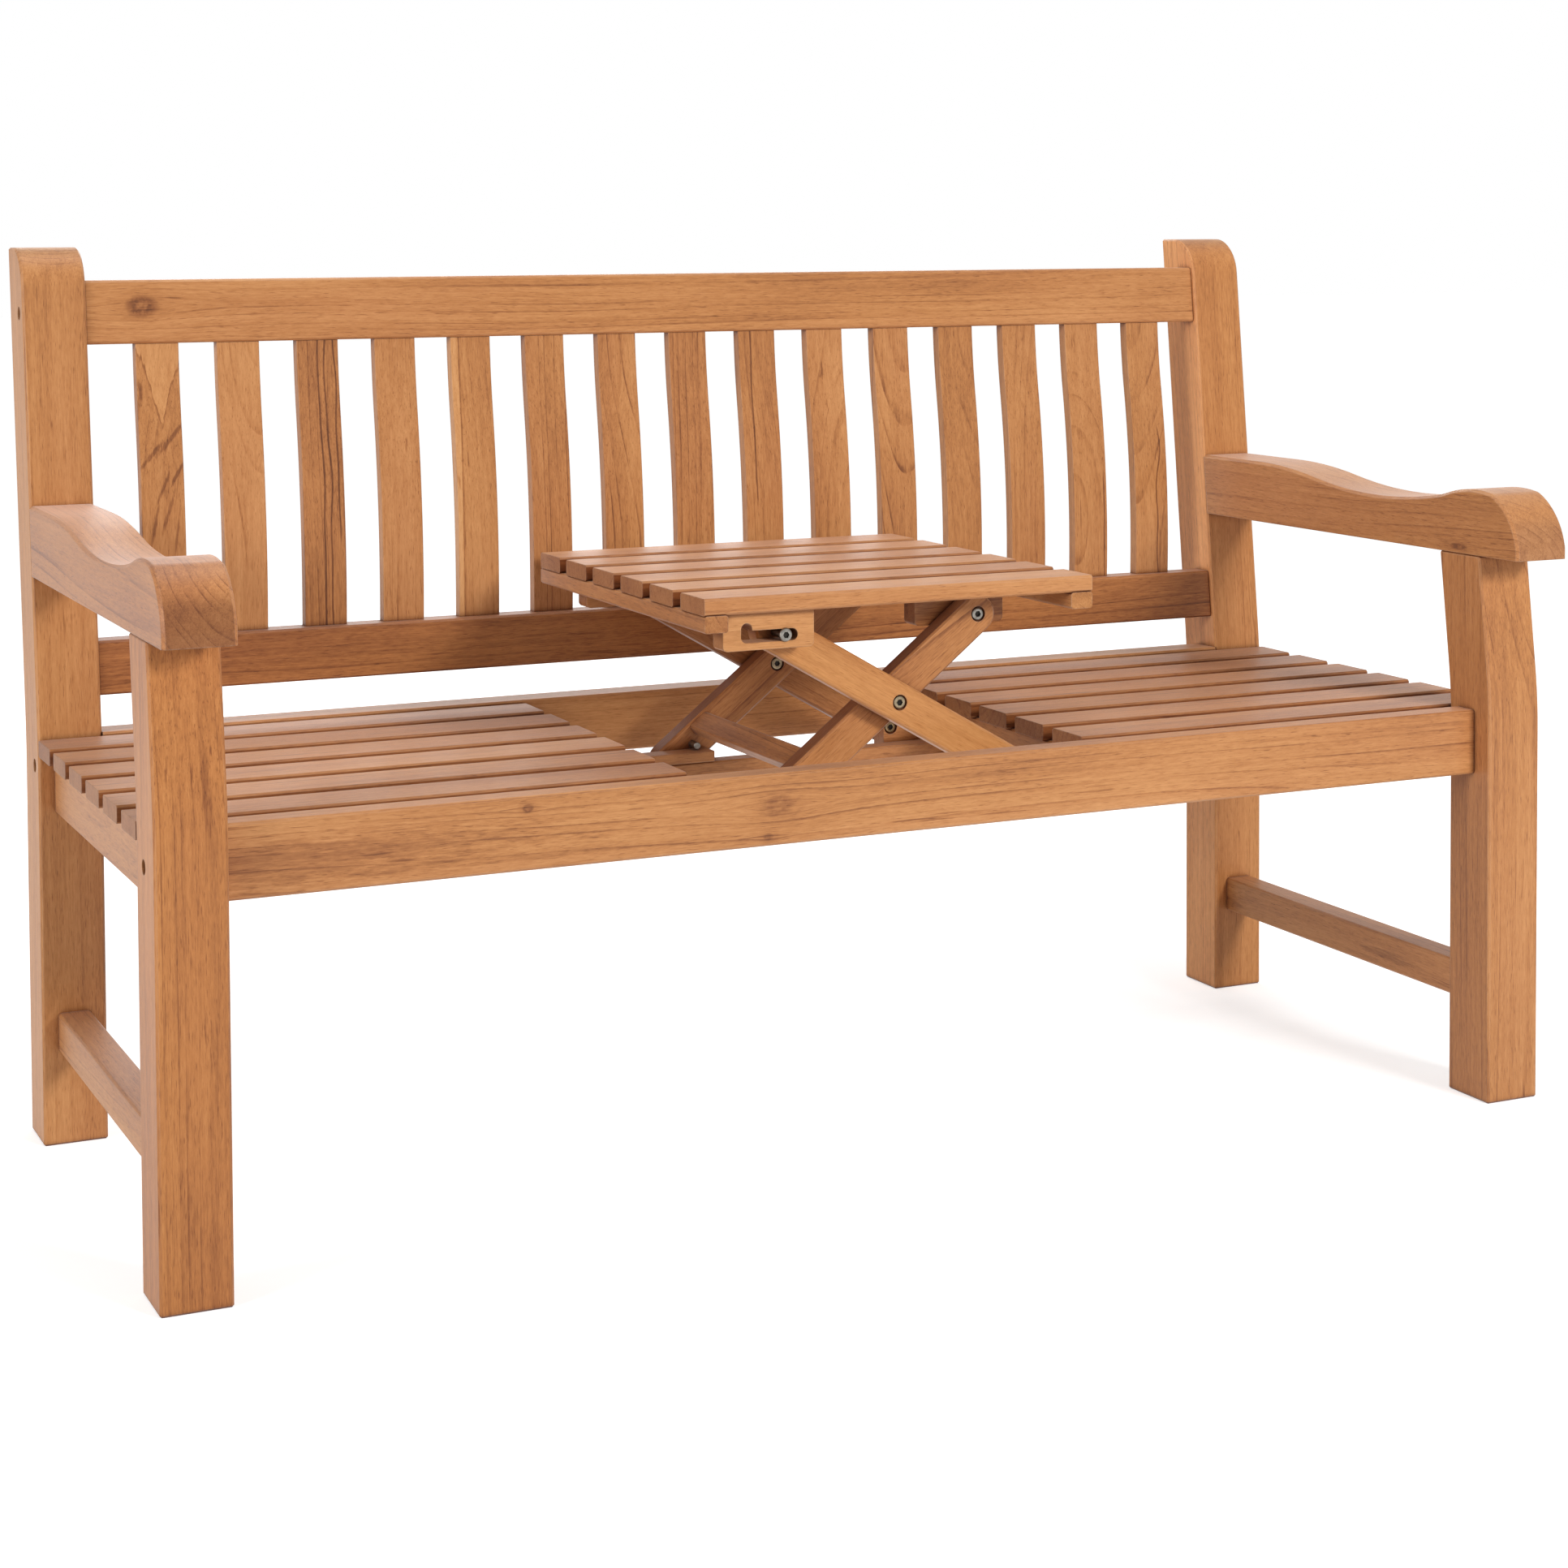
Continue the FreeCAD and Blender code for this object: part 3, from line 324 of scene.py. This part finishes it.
    def stain(self, across, up, half_width, half_height, slant, depth):
        """A dark ragged streak."""
        g = self.g
        away = g.add("ShaderNodeMapping", {"Vector": self.away_from_share(across, up),
                                           "Rotation": (0, math.radians(slant), 0)})
        near = g.vector("LENGTH", g.vector("DIVIDE", away, (half_width, 1.0, half_height)),
                        output=1)
        near = g.math("ADD", near, g.swing(self.pattern("ragged"), 2.4))
        self.darken(g.remap(near, 1.25, 0.35, 0.0, depth))

    def line(self, across, start, stop, sway):
        """A thin dark line up a board, which fades at both ends."""
        g = self.g
        away = self.away_from_share(across, start)
        height = g.split(away, 2)
        bent = g.noise(g.add("ShaderNodeCombineXYZ", {2: height}), 7.0 + across, 1.0)
        off = g.math("ABSOLUTE", g.math("ADD", g.split(away, 0), g.swing(bent, sway)))
        length = (stop - start) * (self.high.z - self.low.z)
        thin = g.math("MULTIPLY", g.remap(off, 0.0014, 0.0004), g.remap(height, 0.0, LINE_FADE))
        thin = g.math("MULTIPLY", thin, g.remap(height, length, length - LINE_FADE))
        self.darken(thin, LINE_DEPTH)

    def arch(self, across, up, streak):
        """A pale arch of flat-cut grain above its tip, with a dark rim."""
        g = self.g
        away = self.away_from_share(across, up)
        sideways = g.math("ABSOLUTE", g.split(away, 0))
        inside = g.math("SUBTRACT", g.split(away, 2), g.math("MULTIPLY", sideways, ARCH_SLOPE))
        inside = g.math("ADD", inside, g.swing(streak, 0.05))
        rim = g.math("MULTIPLY", g.remap(inside, -0.006, 0.0), g.remap(inside, 0.004, 0.0))
        self.value = g.math("ADD", self.value, g.remap(inside, -0.001, 0.003, 0.0, ARCH_LIFT))
        self.darken(rim, ARCH_RIM)

    def sapwood(self, across, cloud):
        """A paler left edge as far as a share of the width, with a dark rim."""
        g = self.g
        away = g.split(self.away_from_share(across, 0.5), 0)
        away = g.math("ADD", away, g.swing(cloud, 0.012))
        self.value = g.math("ADD", self.value, g.remap(away, 0.0008, -0.0008, 0.0, SAP_LIFT))
        rim = g.math("MULTIPLY", g.remap(away, -0.0015, 0.0), g.remap(away, 0.0018, 0.0))
        self.darken(rim, SAP_RIM)

    def tint_where(self, share, tint):
        """Multiply the colour by a tint, as far as the share says."""
        tinted = self.g.tinted(self.colour, tint)
        self.colour = self.g.mix(share, self.colour, tinted)

    def square_on(self, direction):
        """1 on the side that faces a direction."""
        return self.g.remap(self.g.facing(self.normal, direction), *SQUARE_ON)


def teak(node, seed, grain, tone, figure, spacing=0.011, tilt=0.9, waver=0.030, turn=0.0,
         bend=None, rows=None, knots=(), stains=(), lines=(), arch=None, sap=None,
         tint=None, end_tint=END_TINT, dark_sides=(0, 0), pale_side=None, sheen=0.16):
    """The teak of one node. Its values:
    grain: the board's long axis, turned about Y by turn, in degrees
    tone, figure: how light the wood is, and how strongly its rings show
    spacing, tilt: distance of the rings, and how far they run out of the board, in degrees
    waver: how far the grain wanders across the board
    bend: (height, slope) above which the grain of a leg leans back
    rows: (start, pitch) along Y of the boards, where one node holds several
    knots: (centre, size, depth) of each
    stains: dark streaks (across, up, half width, half height, slant, depth)
    lines: thin dark lines (across, start, stop, sway)
    arch, sap: (across, up) of a pale arch's tip, and the share of a paler left edge
    tint, end_tint: colours that the wood and its end grain are multiplied by
    dark_sides: how much painted shade darkens the front or upper and the rear or lower sides
    pale_side: the direction of one side that gets painted light, paler than the rest
    sheen: how much the surface fades to pale at a low angle
    Across, up, start and stop are shares of the node's width and height."""
    draw = random.Random(seed)
    wood = Teak(node)
    g = wood.g
    shift = (draw.uniform(-3, 3), 0.0, 0.0)
    wood.lay_grain(grain, turn, bend, shift)
    row_tone = wood.part_rows(*rows, seed) if rows else 0.0
    for centre, size, _ in knots:
        wood.part_grain(centre, size)
    wood.wander(waver)
    lean = Euler((0, math.radians(draw.uniform(-tilt, tilt)),
                  math.radians(draw.uniform(-tilt, tilt))))
    pith_angle = draw.uniform(0, 2 * math.pi)
    pith_far = draw.uniform(*PITH_FAR)
    pith = (0, pith_far * math.cos(pith_angle), pith_far * math.sin(pith_angle))
    late, early = wood.growth_rings(shift, lean, pith, spacing)

    streak, fibre = wood.pattern("streak"), wood.pattern("fibre")
    pore = g.remap(wood.pattern("pore"), 0.60, 0.74)
    cloud = g.noise(g.vector("MULTIPLY", wood.grained, CLOUD_SCALE), 1.0, 2.0)
    fleck = g.math("MULTIPLY", g.remap(wood.pattern("fleck"), 0.64, 0.74),
                   g.remap(cloud, 0.5, 0.62))
    wood.value = g.math("ADD", 0.5 + 0.5 * (tone - 0.5), row_tone)
    for source, middle, weight in (
            (streak, 0.5, 0.30), (fibre, 0.5, 0.26), (cloud, 0.5, 0.40),
            (wood.pattern("speck"), 0.5, 0.34), (late, 0.08, -0.34 * figure),
            (early, 0.30, -0.06 * figure), (pore, 0.05, -0.20), (fleck, 0.0, -0.22)):
        part = g.math("MULTIPLY", g.math("SUBTRACT", source, middle), weight)
        wood.value = g.math("ADD", wood.value, part)
    for knot in knots:
        wood.knot(*knot)
    for stain in stains:
        wood.stain(*stain)
    for line in lines:
        wood.line(*line)
    if arch:
        wood.arch(*arch, streak)
    if sap:
        wood.sapwood(sap, cloud)

    # redder and yellower zones, and end grain, which is darker on most pieces
    hue = g.noise(g.vector("MULTIPLY", wood.grained, HUE_SCALE), 1.0, 1.0)
    hue = g.ramp(g.remap(hue, 0.32, 0.68), REDDER_TO_YELLOWER)
    wood.colour = g.mix(HUE_SHARE, g.ramp(wood.value, TEAK_STOPS), hue, "MULTIPLY")
    if tint:
        wood.colour = g.tinted(wood.colour, tint)
    turned = Matrix.Rotation(math.radians(turn), 3, "Y")
    axis = turned @ TURN_TO_GRAIN[grain].to_matrix().inverted() @ Vector((1, 0, 0))
    end = g.remap(g.math("ABSOLUTE", g.facing(wood.normal, axis)), *END_ON)
    wood.tint_where(end, end_tint)

    # edges are worn lighter
    rounded = g.add("ShaderNodeBevel", {"Radius": EDGE_RADIUS}, samples=6)
    true_normal = g.add("ShaderNodeNewGeometry", output=1)
    flat = g.vector("DOT_PRODUCT", rounded, true_normal, 1)
    worn = g.math("MULTIPLY", g.remap(flat, 0.995, 0.86), g.remap(streak, 0.30, 0.62))
    wood.colour = g.mix(g.math("MULTIPLY", worn, EDGE_WEAR), wood.colour, EDGE_TONE)

    # painted shade on the shaded sides and in crevices between pieces that nearly touch, and
    # painted light on one lit side
    side = turned @ Vector((0, 0, 1)) if turn else Vector((0, -1, 0))
    for strength, direction in zip(dark_sides, (side, -side)):
        if strength:
            share = g.math("MULTIPLY", wood.square_on(direction), strength)
            wood.tint_where(share, SIDE_SHADE_TINT)
    if pale_side:
        wood.tint_where(wood.square_on(pale_side), SIDE_LIGHT_TINT)
    # painted shade where ambient occlusion finds a crevice
    openness = g.add("ShaderNodeAmbientOcclusion", {"Distance": CREVICE_SHADE_REACH}, 1, samples=6)
    wood.tint_where(g.remap(openness, 0.74, 0.40, 0.0, 0.90), CREVICE_SHADE_TINT)

    relief = g.math("ADD", g.math("MULTIPLY", fibre, 0.6), g.math("MULTIPLY", late, -0.35))
    relief = g.math("SUBTRACT", relief, g.math("MULTIPLY", pore, 0.8))
    bump = g.add("ShaderNodeBump", {"Strength": 0.28, "Distance": 0.0006,
                                    "Height": relief, "Normal": rounded})
    roughness = g.math("ADD", 0.42, g.math("MULTIPLY", fibre, 0.16))
    roughness = g.math("ADD", roughness, g.math("MULTIPLY", end, 0.15))
    g.surface(g.add("ShaderNodeBsdfPrincipled", {
        "Base Color": wood.colour, "Roughness": roughness, "Normal": bump,
        "Specular IOR Level": 0.22, "Coat Weight": 0.20, "Coat Roughness": 0.36,
        "Sheen Weight": sheen, "Sheen Roughness": 0.35, "Sheen Tint": SHEEN_TINT,
    }))
    return wood.material


def steel(name, colour, roughness=0.32):
    """Plated steel with smudges and fine marks of turning."""
    material, g = new_graph("steel_" + name)
    place = g.add("ShaderNodeTexCoord", output=3)
    smudge = g.noise(place, 260.0, 3.0)
    marks = g.noise(g.vector("MULTIPLY", place, (1500, 300, 1500)), 1.0, 2.0)
    darker = [0.72 * channel for channel in colour]
    shade = g.mix(g.remap(smudge, 0.35, 0.7), (*colour, 1.0), (*darker, 1.0))
    gloss = g.math("ADD", roughness, g.math("MULTIPLY", smudge, 0.16))
    bump = g.add("ShaderNodeBump", {"Strength": 0.12, "Distance": 0.0001, "Height": marks})
    g.surface(g.add("ShaderNodeBsdfPrincipled", {
        "Base Color": shade, "Metallic": 1.0, "Roughness": gloss, "Normal": bump,
    }))
    return material


def dress(node, material):
    mesh = nodes[node].data
    mesh.materials.clear()
    mesh.materials.append(material)


# Every wooden node is its own cut of the wood

LEG_BEND = (0.415, 0.111)
FRONT_LEG = dict(grain="Z", figure=0.45, spacing=0.010, tilt=0.3, waver=0.012)
# the back legs' paler, greyer end grain on their tops is partly grey end grain and partly
# painted sheen
BACK_LEG = dict(grain="Z", tilt=0.5, waver=0.012, bend=LEG_BEND, end_tint=(0.92, 0.98, 1.08))
ARMREST = dict(grain="Y", spacing=0.009, tilt=1.5)
TWO_BLOCKS = (0.0, 0.5)
BOARDS = {
    "front_leg_left": dict(FRONT_LEG, tone=0.35, tint=(1, 0.92, 0.80)),
    "front_leg_right": dict(FRONT_LEG, tone=0.50),
    "back_leg_left": dict(BACK_LEG, tone=0.52, figure=0.50, spacing=0.007),
    # the inner side of the right back leg gets painted light
    "back_leg_right": dict(BACK_LEG, tone=0.56, figure=0.40, spacing=0.009,
                           tint=(1, 0.96, 0.90), pale_side=(-1, 0, 0)),
    "armrest_left": dict(ARMREST, tone=0.42, figure=0.60, tint=(1, 0.95, 0.92), sheen=0.42,
                         end_tint=(0.60, 0.58, 0.63)),
    "armrest_right": dict(ARMREST, tone=0.52, figure=0.45, sheen=0.32,
                          end_tint=(0.84, 0.88, 1.04)),
    "side_rail_left": dict(grain="Y", tone=0.44, figure=0.4),
    "side_rail_right": dict(grain="Y", tone=0.46, figure=0.4),
    "stretcher_left": dict(grain="Y", tone=0.50, figure=0.4),
    "stretcher_right": dict(grain="Y", tone=0.50, figure=0.4),
    "front_rail": dict(grain="X", tone=0.56, figure=0.55, spacing=0.007, tilt=0.5,
                       stains=[(0.02, 0.42, 0.30, 0.024, 0, 0.17)]),
    "rear_rail": dict(grain="X", tone=0.54, figure=0.4, tilt=0.7),
    "top_back_rail": dict(grain="X", tone=0.52, figure=0.50, spacing=0.009, tilt=0.5),
    # the lower back rail's low tone is partly darker wood and partly painted shade from the
    # seat and table above it
    "lower_back_rail": dict(grain="X", tone=0.24, figure=0.6, spacing=0.009, tilt=0.5,
                            tint=(1, 0.94, 0.88)),
    "seat_bearer_left": dict(grain="Y", tone=0.42, figure=0.4),
    "seat_bearer_right": dict(grain="Y", tone=0.42, figure=0.4),
    "base_rail_front": dict(grain="X", tone=0.45, figure=0.4),
    "base_rail_rear": dict(grain="X", tone=0.45, figure=0.4),
    "base_pivot_blocks": dict(grain="X", tone=0.40, figure=0.4, rows=TWO_BLOCKS),
    "base_runner_blocks": dict(grain="X", tone=0.42, figure=0.4, rows=TWO_BLOCKS),
    "outer_arm_front": dict(grain="X", tone=0.76, figure=0.25, spacing=0.013,
                            tint=(1, 0.96, 0.84)),
    # painted shade on the sides of the rear and inner scissor arms
    "outer_arm_rear": dict(grain="X", tone=0.44, figure=0.45, dark_sides=(0.7, 0.7)),
    "inner_arm_front": dict(grain="X", tone=0.42, figure=0.55, spacing=0.010,
                            dark_sides=(0.85, 0.3)),
    "inner_arm_rear": dict(grain="X", tone=0.46, figure=0.45, spacing=0.010,
                           dark_sides=(0.85, 0.3)),
    "cross_bar": dict(grain="Y", tone=0.34, figure=0.5),
    "table_batten_left": dict(grain="Y", tone=0.40, figure=0.4, end_tint=(0.88, 0.86, 0.86)),
    "table_batten_right": dict(grain="Y", tone=0.46, figure=0.4, end_tint=(0.94, 0.94, 0.92)),
    "table_slide_blocks": dict(grain="X", tone=0.60, figure=0.3, rows=TWO_BLOCKS),
    "table_pivot_blocks": dict(grain="X", tone=0.42, figure=0.4, rows=TWO_BLOCKS),
}
KNOTS = {
    "top_back_rail": [((-0.625, 0.283, 0.8675), 0.0095, 0.32)],
    "front_rail": [((-0.144, -0.279, 0.393), 0.0095, 0.14),
                   ((-0.154, -0.279, 0.3635), 0.003, 0.20),
                   ((-0.398, -0.279, 0.4125), 0.0032, 0.26)],
    "armrest_right": [((0.683, -0.250, 0.598), 0.0030, 0.26)],
}

BACK_SLATS = 15
BACK_SLAT_TONES = {1: 0.52, 2: 0.70, 3: 0.40, 4: 0.56, 5: 0.52, 6: 0.50, 7: 0.50, 11: 0.56}
BACK_SLAT_FIGURES = {1: 0.4, 2: 0.4, 3: 0.5, 5: 0.3, 6: 0.8, 7: 0.8, 8: 0.7, 11: 0.9}
SLAT_MARKS = {
    1: dict(arch=(0.55, 0.725), stains=[
        (0.08, 0.84, 0.0025, 0.014, 8, 0.26), (0.30, 0.62, 0.0025, 0.022, -42, 0.22),
        (0.72, 0.67, 0.0025, 0.024, -40, 0.24), (0.85, 0.55, 0.002, 0.020, -30, 0.26),
        (0.50, 0.50, 0.002, 0.024, -24, 0.24), (0.30, 0.38, 0.002, 0.030, -12, 0.24),
        (0.62, 0.42, 0.002, 0.026, -18, 0.20), (0.80, 0.34, 0.0016, 0.030, -8, 0.20)]),
    3: dict(lines=[(0.50, -0.1, 1.1, 0.010), (0.66, -0.1, 1.1, 0.016),
                   (0.87, 0.25, 1.1, 0.014)]),
    5: dict(sap=0.20),
    9: dict(lines=[(0.30, 0.3, 1.1, 0.010)]),
    14: dict(lines=[(0.92, -0.1, 0.45, 0.004)]),
    15: dict(lines=[(0.66, -0.1, 0.62, 0.040)]),
}
draw_slat = random.Random(7)
for number in range(1, BACK_SLATS + 1):
    BOARDS[f"back_slat_{number:02d}"] = dict(
        grain="Z", tone=BACK_SLAT_TONES.get(number, draw_slat.uniform(0.48, 0.58)),
        figure=BACK_SLAT_FIGURES.get(number, draw_slat.uniform(0.3, 0.6)),
        spacing=draw_slat.uniform(0.006, 0.010), tilt=1.2, **SLAT_MARKS.get(number, {}))

# the table's slats get painted shade on all long sides but the two outermost, for the gaps
# between them
TABLE_TONES = (0.58, 0.52, 0.50, 0.48, 0.52, 0.50)
TABLE_EDGE = 0.01
table_slats = [f"table_slat_{number}" for number in range(1, len(TABLE_TONES) + 1)]
table_front = min(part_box(slat)[0].y for slat in table_slats)
table_rear = max(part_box(slat)[1].y for slat in table_slats)
for slat, tone in zip(table_slats, TABLE_TONES):
    low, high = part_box(slat)
    dark_sides = (low.y > table_front + TABLE_EDGE, high.y < table_rear - TABLE_EDGE)
    BOARDS[slat] = dict(grain="X", tone=tone, figure=0.35, spacing=0.008, tilt=0.8,
                        dark_sides=dark_sides)

SEAT_SLATS = 6


def slat_rows(node):
    """Where the slats of a seat start along Y, measured from the node's middle."""
    low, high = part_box(node)
    slat_low, slat_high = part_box(table_slats[0])
    width = slat_high.y - slat_low.y
    pitch = (high.y - low.y - width) / (SEAT_SLATS - 1)
    return (low.y - (low.y + high.y) / 2 - (pitch - width) / 2, pitch)


# painted shade on both long sides of each seat slat, for the gaps between them
for node in ("left_seat_slats", "right_seat_slats"):
    BOARDS[node] = dict(grain="X", tone=0.43, figure=0.45, sheen=0.22, spacing=0.008, tilt=0.8,
                        rows=slat_rows(node), dark_sides=(0.85, 0.85))

ARM_WIDTH = 0.039


def arm_turn(node):
    """Degrees by which a scissor arm leans in the XZ plane, from its own box."""
    low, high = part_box(node)
    run = high.x - low.x - ARM_WIDTH
    rise = high.z - low.z - ARM_WIDTH
    angle = math.degrees(math.asin(rise / math.hypot(run, rise)))
    return angle if node.startswith("outer") else -angle


for node in ("outer_arm_front", "outer_arm_rear", "inner_arm_front", "inner_arm_rear"):
    BOARDS[node]["turn"] = arm_turn(node)

for number, (node, board) in enumerate(sorted(BOARDS.items())):
    dress(node, teak(node, seed=101 + 17 * number, knots=KNOTS.get(node, ()), **board))


# Fasteners: turned heads with a hexagon socket

SEGMENTS = 36
SOCKET_RADIUS = 0.0029
SMOOTH_BELOW = math.radians(38)
PLATED = (0.29, 0.27, 0.24)
# the hexagon socket's near-black colour is painted shade in the recess
SOCKET_SHADE = (0.05, 0.045, 0.04)


def socket_reach(step):
    """Distance of the hexagon's edge from its centre at one of the ring's steps."""
    angle = 2 * math.pi * step / SEGMENTS
    return SOCKET_RADIUS / math.cos(angle % (math.pi / 3) - math.pi / 6)


def head_rings(radius, height, shank):
    """(distance inwards from the head's face, radius) of each ring; None is the socket."""
    return [
        (0.55 * height + 0.0004, None),
        (0.0002, None),
        (0.0, 0.56 * radius),
        (0.0, 0.72 * radius),
        (0.05 * height, 0.83 * radius),
        (0.16 * height, 0.93 * radius),
        (0.34 * height, 0.985 * radius),
        (0.55 * height, radius),
        (0.96 * height, radius),
        (height, 0.985 * radius),
        (height, shank),
    ]


def lathe(build, rings, centre, axis):
    """Join rings of (place along the axis, radius); the first and the last are closed."""
    made = []
    for along, radius in rings:
        ring = []
        for step in range(SEGMENTS):
            reach = socket_reach(step) if radius is None else radius
            angle = 2 * math.pi * step / SEGMENTS
            across = (reach * math.cos(angle), reach * math.sin(angle))
            point = (along, *across) if axis == "X" else (across[0], along, across[1])
            ring.append(build.verts.new(centre + Vector(point)))
        made.append((ring, radius is None))
    for (first, first_socket), (second, second_socket) in zip(made, made[1:]):
        for step in range(SEGMENTS):
            following = (step + 1) % SEGMENTS
            face = build.faces.new((first[step], first[following], second[following],
                                    second[step]))
            face.material_index = int(first_socket and second_socket)
    for ring, in_socket in (made[0], made[-1]):
        build.faces.new(ring).material_index = int(in_socket)


def finish_piece(build, material, node):
    """Make a piece of a node's turned bolts, which takes the node's place."""
    name = node + "_turned"
    bmesh.ops.recalc_face_normals(build, faces=build.faces)
    mesh = bpy.data.meshes.new(name)
    build.to_mesh(mesh)
    build.free()
    for face in mesh.polygons:
        face.use_smooth = True
    mesh.set_sharp_from_angle(angle=SMOOTH_BELOW)
    mesh.materials.append(material)
    # the socket faces take the near-black steel of painted shade
    mesh.materials.append(steel(name + "_socket", SOCKET_SHADE, 0.5))
    piece = bpy.data.objects.new(name, mesh)
    scene.collection.objects.link(piece)
    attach(piece, bodies_of[node])
    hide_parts(node)


def clusters(numbers, gap):
    """(lowest, highest) of each group of numbers that lie closer than a gap."""
    groups = []
    for number in sorted(numbers):
        if groups and number - groups[-1][1] < gap:
            groups[-1][1] = number
        else:
            groups.append([number, number])
    return groups


# vertices that lie farther apart than this belong to separate bolts
BOLTS_APART = 0.1
HEAD_HEIGHT = 0.003
HEAD_RADIUS = 0.00675
SHANK_RADIUS = 0.004
TIP_RINGS = [(0.0, 0.86 * SHANK_RADIUS), (0.0006, SHANK_RADIUS)]
HEAD_RINGS = head_rings(HEAD_RADIUS, HEAD_HEIGHT, SHANK_RADIUS)
BOLT_COLOURS = {
    "crossing_bolts": (0.36, 0.29, 0.19),
    "base_pivot_bolts": (0.36, 0.27, 0.15),
    "table_pivot_bolts": PLATED,
    "upper_slide_bolts": PLATED,
    "lower_slide_bolts": PLATED,
}
# these have no head at their inner end
PLAIN_ENDED = "lower_slide_bolts"

for node, colour in BOLT_COLOURS.items():
    low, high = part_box(node)
    build = bmesh.new()
    for start, stop in clusters([v.co.y for v in nodes[node].data.vertices], BOLTS_APART):
        centre = Vector(((low.x + high.x) / 2, 0, (low.z + high.z) / 2))
        front = back = HEAD_RINGS
        if node == PLAIN_ENDED:
            is_front = start + stop < low.y + high.y
            front, back = (HEAD_RINGS, TIP_RINGS) if is_front else (TIP_RINGS, HEAD_RINGS)
        rings = [(start + inwards, radius) for inwards, radius in front]
        rings += [(stop - inwards, radius) for inwards, radius in reversed(back)]
        lathe(build, rings, centre, "Y")
    finish_piece(build, steel(node, colour), node)

FRAME_HEAD_RADIUS = 0.0062
FRAME_HEAD_HEIGHT = 0.004
FRAME_SHANK_RADIUS = 0.0035
FRAME_HEAD = head_rings(FRAME_HEAD_RADIUS, FRAME_HEAD_HEIGHT, FRAME_SHANK_RADIUS)
FRAME_COLOUR = (0.30, 0.28, 0.26)
# along Y, the vertices of one bolt lie closer than this
WITHIN_BOLT = 0.004

build = bmesh.new()
vertices = [v.co for v in nodes["frame_bolts"].data.vertices]
for side in (-1, 1):
    own = [co for co in vertices if co.x * side > 0]
    outer = max(abs(co.x) for co in own)
    inner = min(abs(co.x) for co in own)
    for front, rear in clusters([co.y for co in own], WITHIN_BOLT):
        heights = [co.z for co in own if front <= co.y <= rear]
        for bottom, top in clusters(heights, BOLTS_APART):
            centre = Vector((0, (front + rear) / 2, (bottom + top) / 2))
            rings = [(side * (outer - inwards), radius) for inwards, radius in FRAME_HEAD]
            rings.append((side * inner, FRAME_SHANK_RADIUS))
            lathe(build, rings, centre, "X")
finish_piece(build, steel("frame", FRAME_COLOUR, 0.4), "frame_bolts")


# Floor and light

FLOOR_HALF = 30.0
FLOOR_GREY = (0.80, 0.80, 0.80, 1.0)
FLOOR_FADE = (0.9, 2.4)
FLOOR_LIFT = (0.58, 0.80)
WORLD_LIGHT = 0.27
WHITE = (1, 1, 1, 1)


def pale_floor():
    """A floor that keeps the shadow and runs into the white background farther away."""
    material, g = new_graph("pale_floor")
    away = g.vector("LENGTH", g.add("ShaderNodeTexCoord", output=3), output=1)
    lift = g.math("MULTIPLY", g.seen_directly(), g.remap(away, *FLOOR_FADE, *FLOOR_LIFT))
    plain = g.add("ShaderNodeBsdfDiffuse", {"Color": FLOOR_GREY})
    lift = g.add("ShaderNodeEmission", {"Color": WHITE, "Strength": lift})
    g.surface(g.add("ShaderNodeAddShader", {0: plain, 1: lift}))
    return material


floor_mesh = bpy.data.meshes.new("floor")
corners = [(-FLOOR_HALF, -FLOOR_HALF, 0), (FLOOR_HALF, -FLOOR_HALF, 0),
           (FLOOR_HALF, FLOOR_HALF, 0), (-FLOOR_HALF, FLOOR_HALF, 0)]
floor_mesh.from_pydata(corners, [], [(0, 1, 2, 3)])
floor_mesh.materials.append(pale_floor())
floor = bpy.data.objects.new("floor", floor_mesh)
scene.collection.objects.link(floor)

world = bpy.data.worlds.new("studio")
scene.world = world
world.use_nodes = True
g = Graph(world.node_tree)
level = g.remap(g.seen_directly(), 0.0, 1.0, WORLD_LIGHT, 1.0, smooth=False)
sky = g.add("ShaderNodeBackground", {"Color": WHITE, "Strength": level})
g.add("ShaderNodeOutputWorld", {"Surface": sky})


def area_light(name, place, target, size, power, glossy=True):
    light = bpy.data.lights.new(name, "AREA")
    light.shape = "RECTANGLE"
    light.size, light.size_y = size
    light.energy = power
    lamp = bpy.data.objects.new(name, light)
    lamp.location = place
    lamp.rotation_euler = (Vector(target) - Vector(place)).to_track_quat("-Z", "Y").to_euler()
    lamp.visible_glossy = glossy
    scene.collection.objects.link(lamp)


area_light("key", (1.5, -4.0, 2.1), (0, 0, 0.5), (1.1, 0.9), 128, glossy=False)
area_light("left", (-5.2, -1.6, 2.2), (-0.2, 0, 0.5), (2.4, 1.8), 145)
area_light("top", (0.0, 0.4, 3.2), (0, 0, 0.4), (2.0, 1.2), 26)
area_light("back", (0.8, 3.6, 2.4), (0, 0, 0.5), (2.4, 1.4), 34)


# Camera, matched to the photograph

CAMERA_PLACE = (-1.3039, -2.80335, 0.947)
CAMERA_DEGREES = (87.5363, 0.2748, -24.8610)
SENSOR_WIDTH = 36.0
LENS = 66.93
SHIFT_Y = -0.2747

camera_data = bpy.data.cameras.new("camera")
camera_data.sensor_fit = "HORIZONTAL"
camera_data.sensor_width = SENSOR_WIDTH
camera_data.lens = LENS
camera_data.shift_y = SHIFT_Y
camera = bpy.data.objects.new("camera", camera_data)
camera.location = CAMERA_PLACE
camera.rotation_euler = [math.radians(angle) for angle in CAMERA_DEGREES]
scene.collection.objects.link(camera)
scene.camera = camera
scene.view_settings.view_transform = "Standard"

bpy.context.view_layer.update()
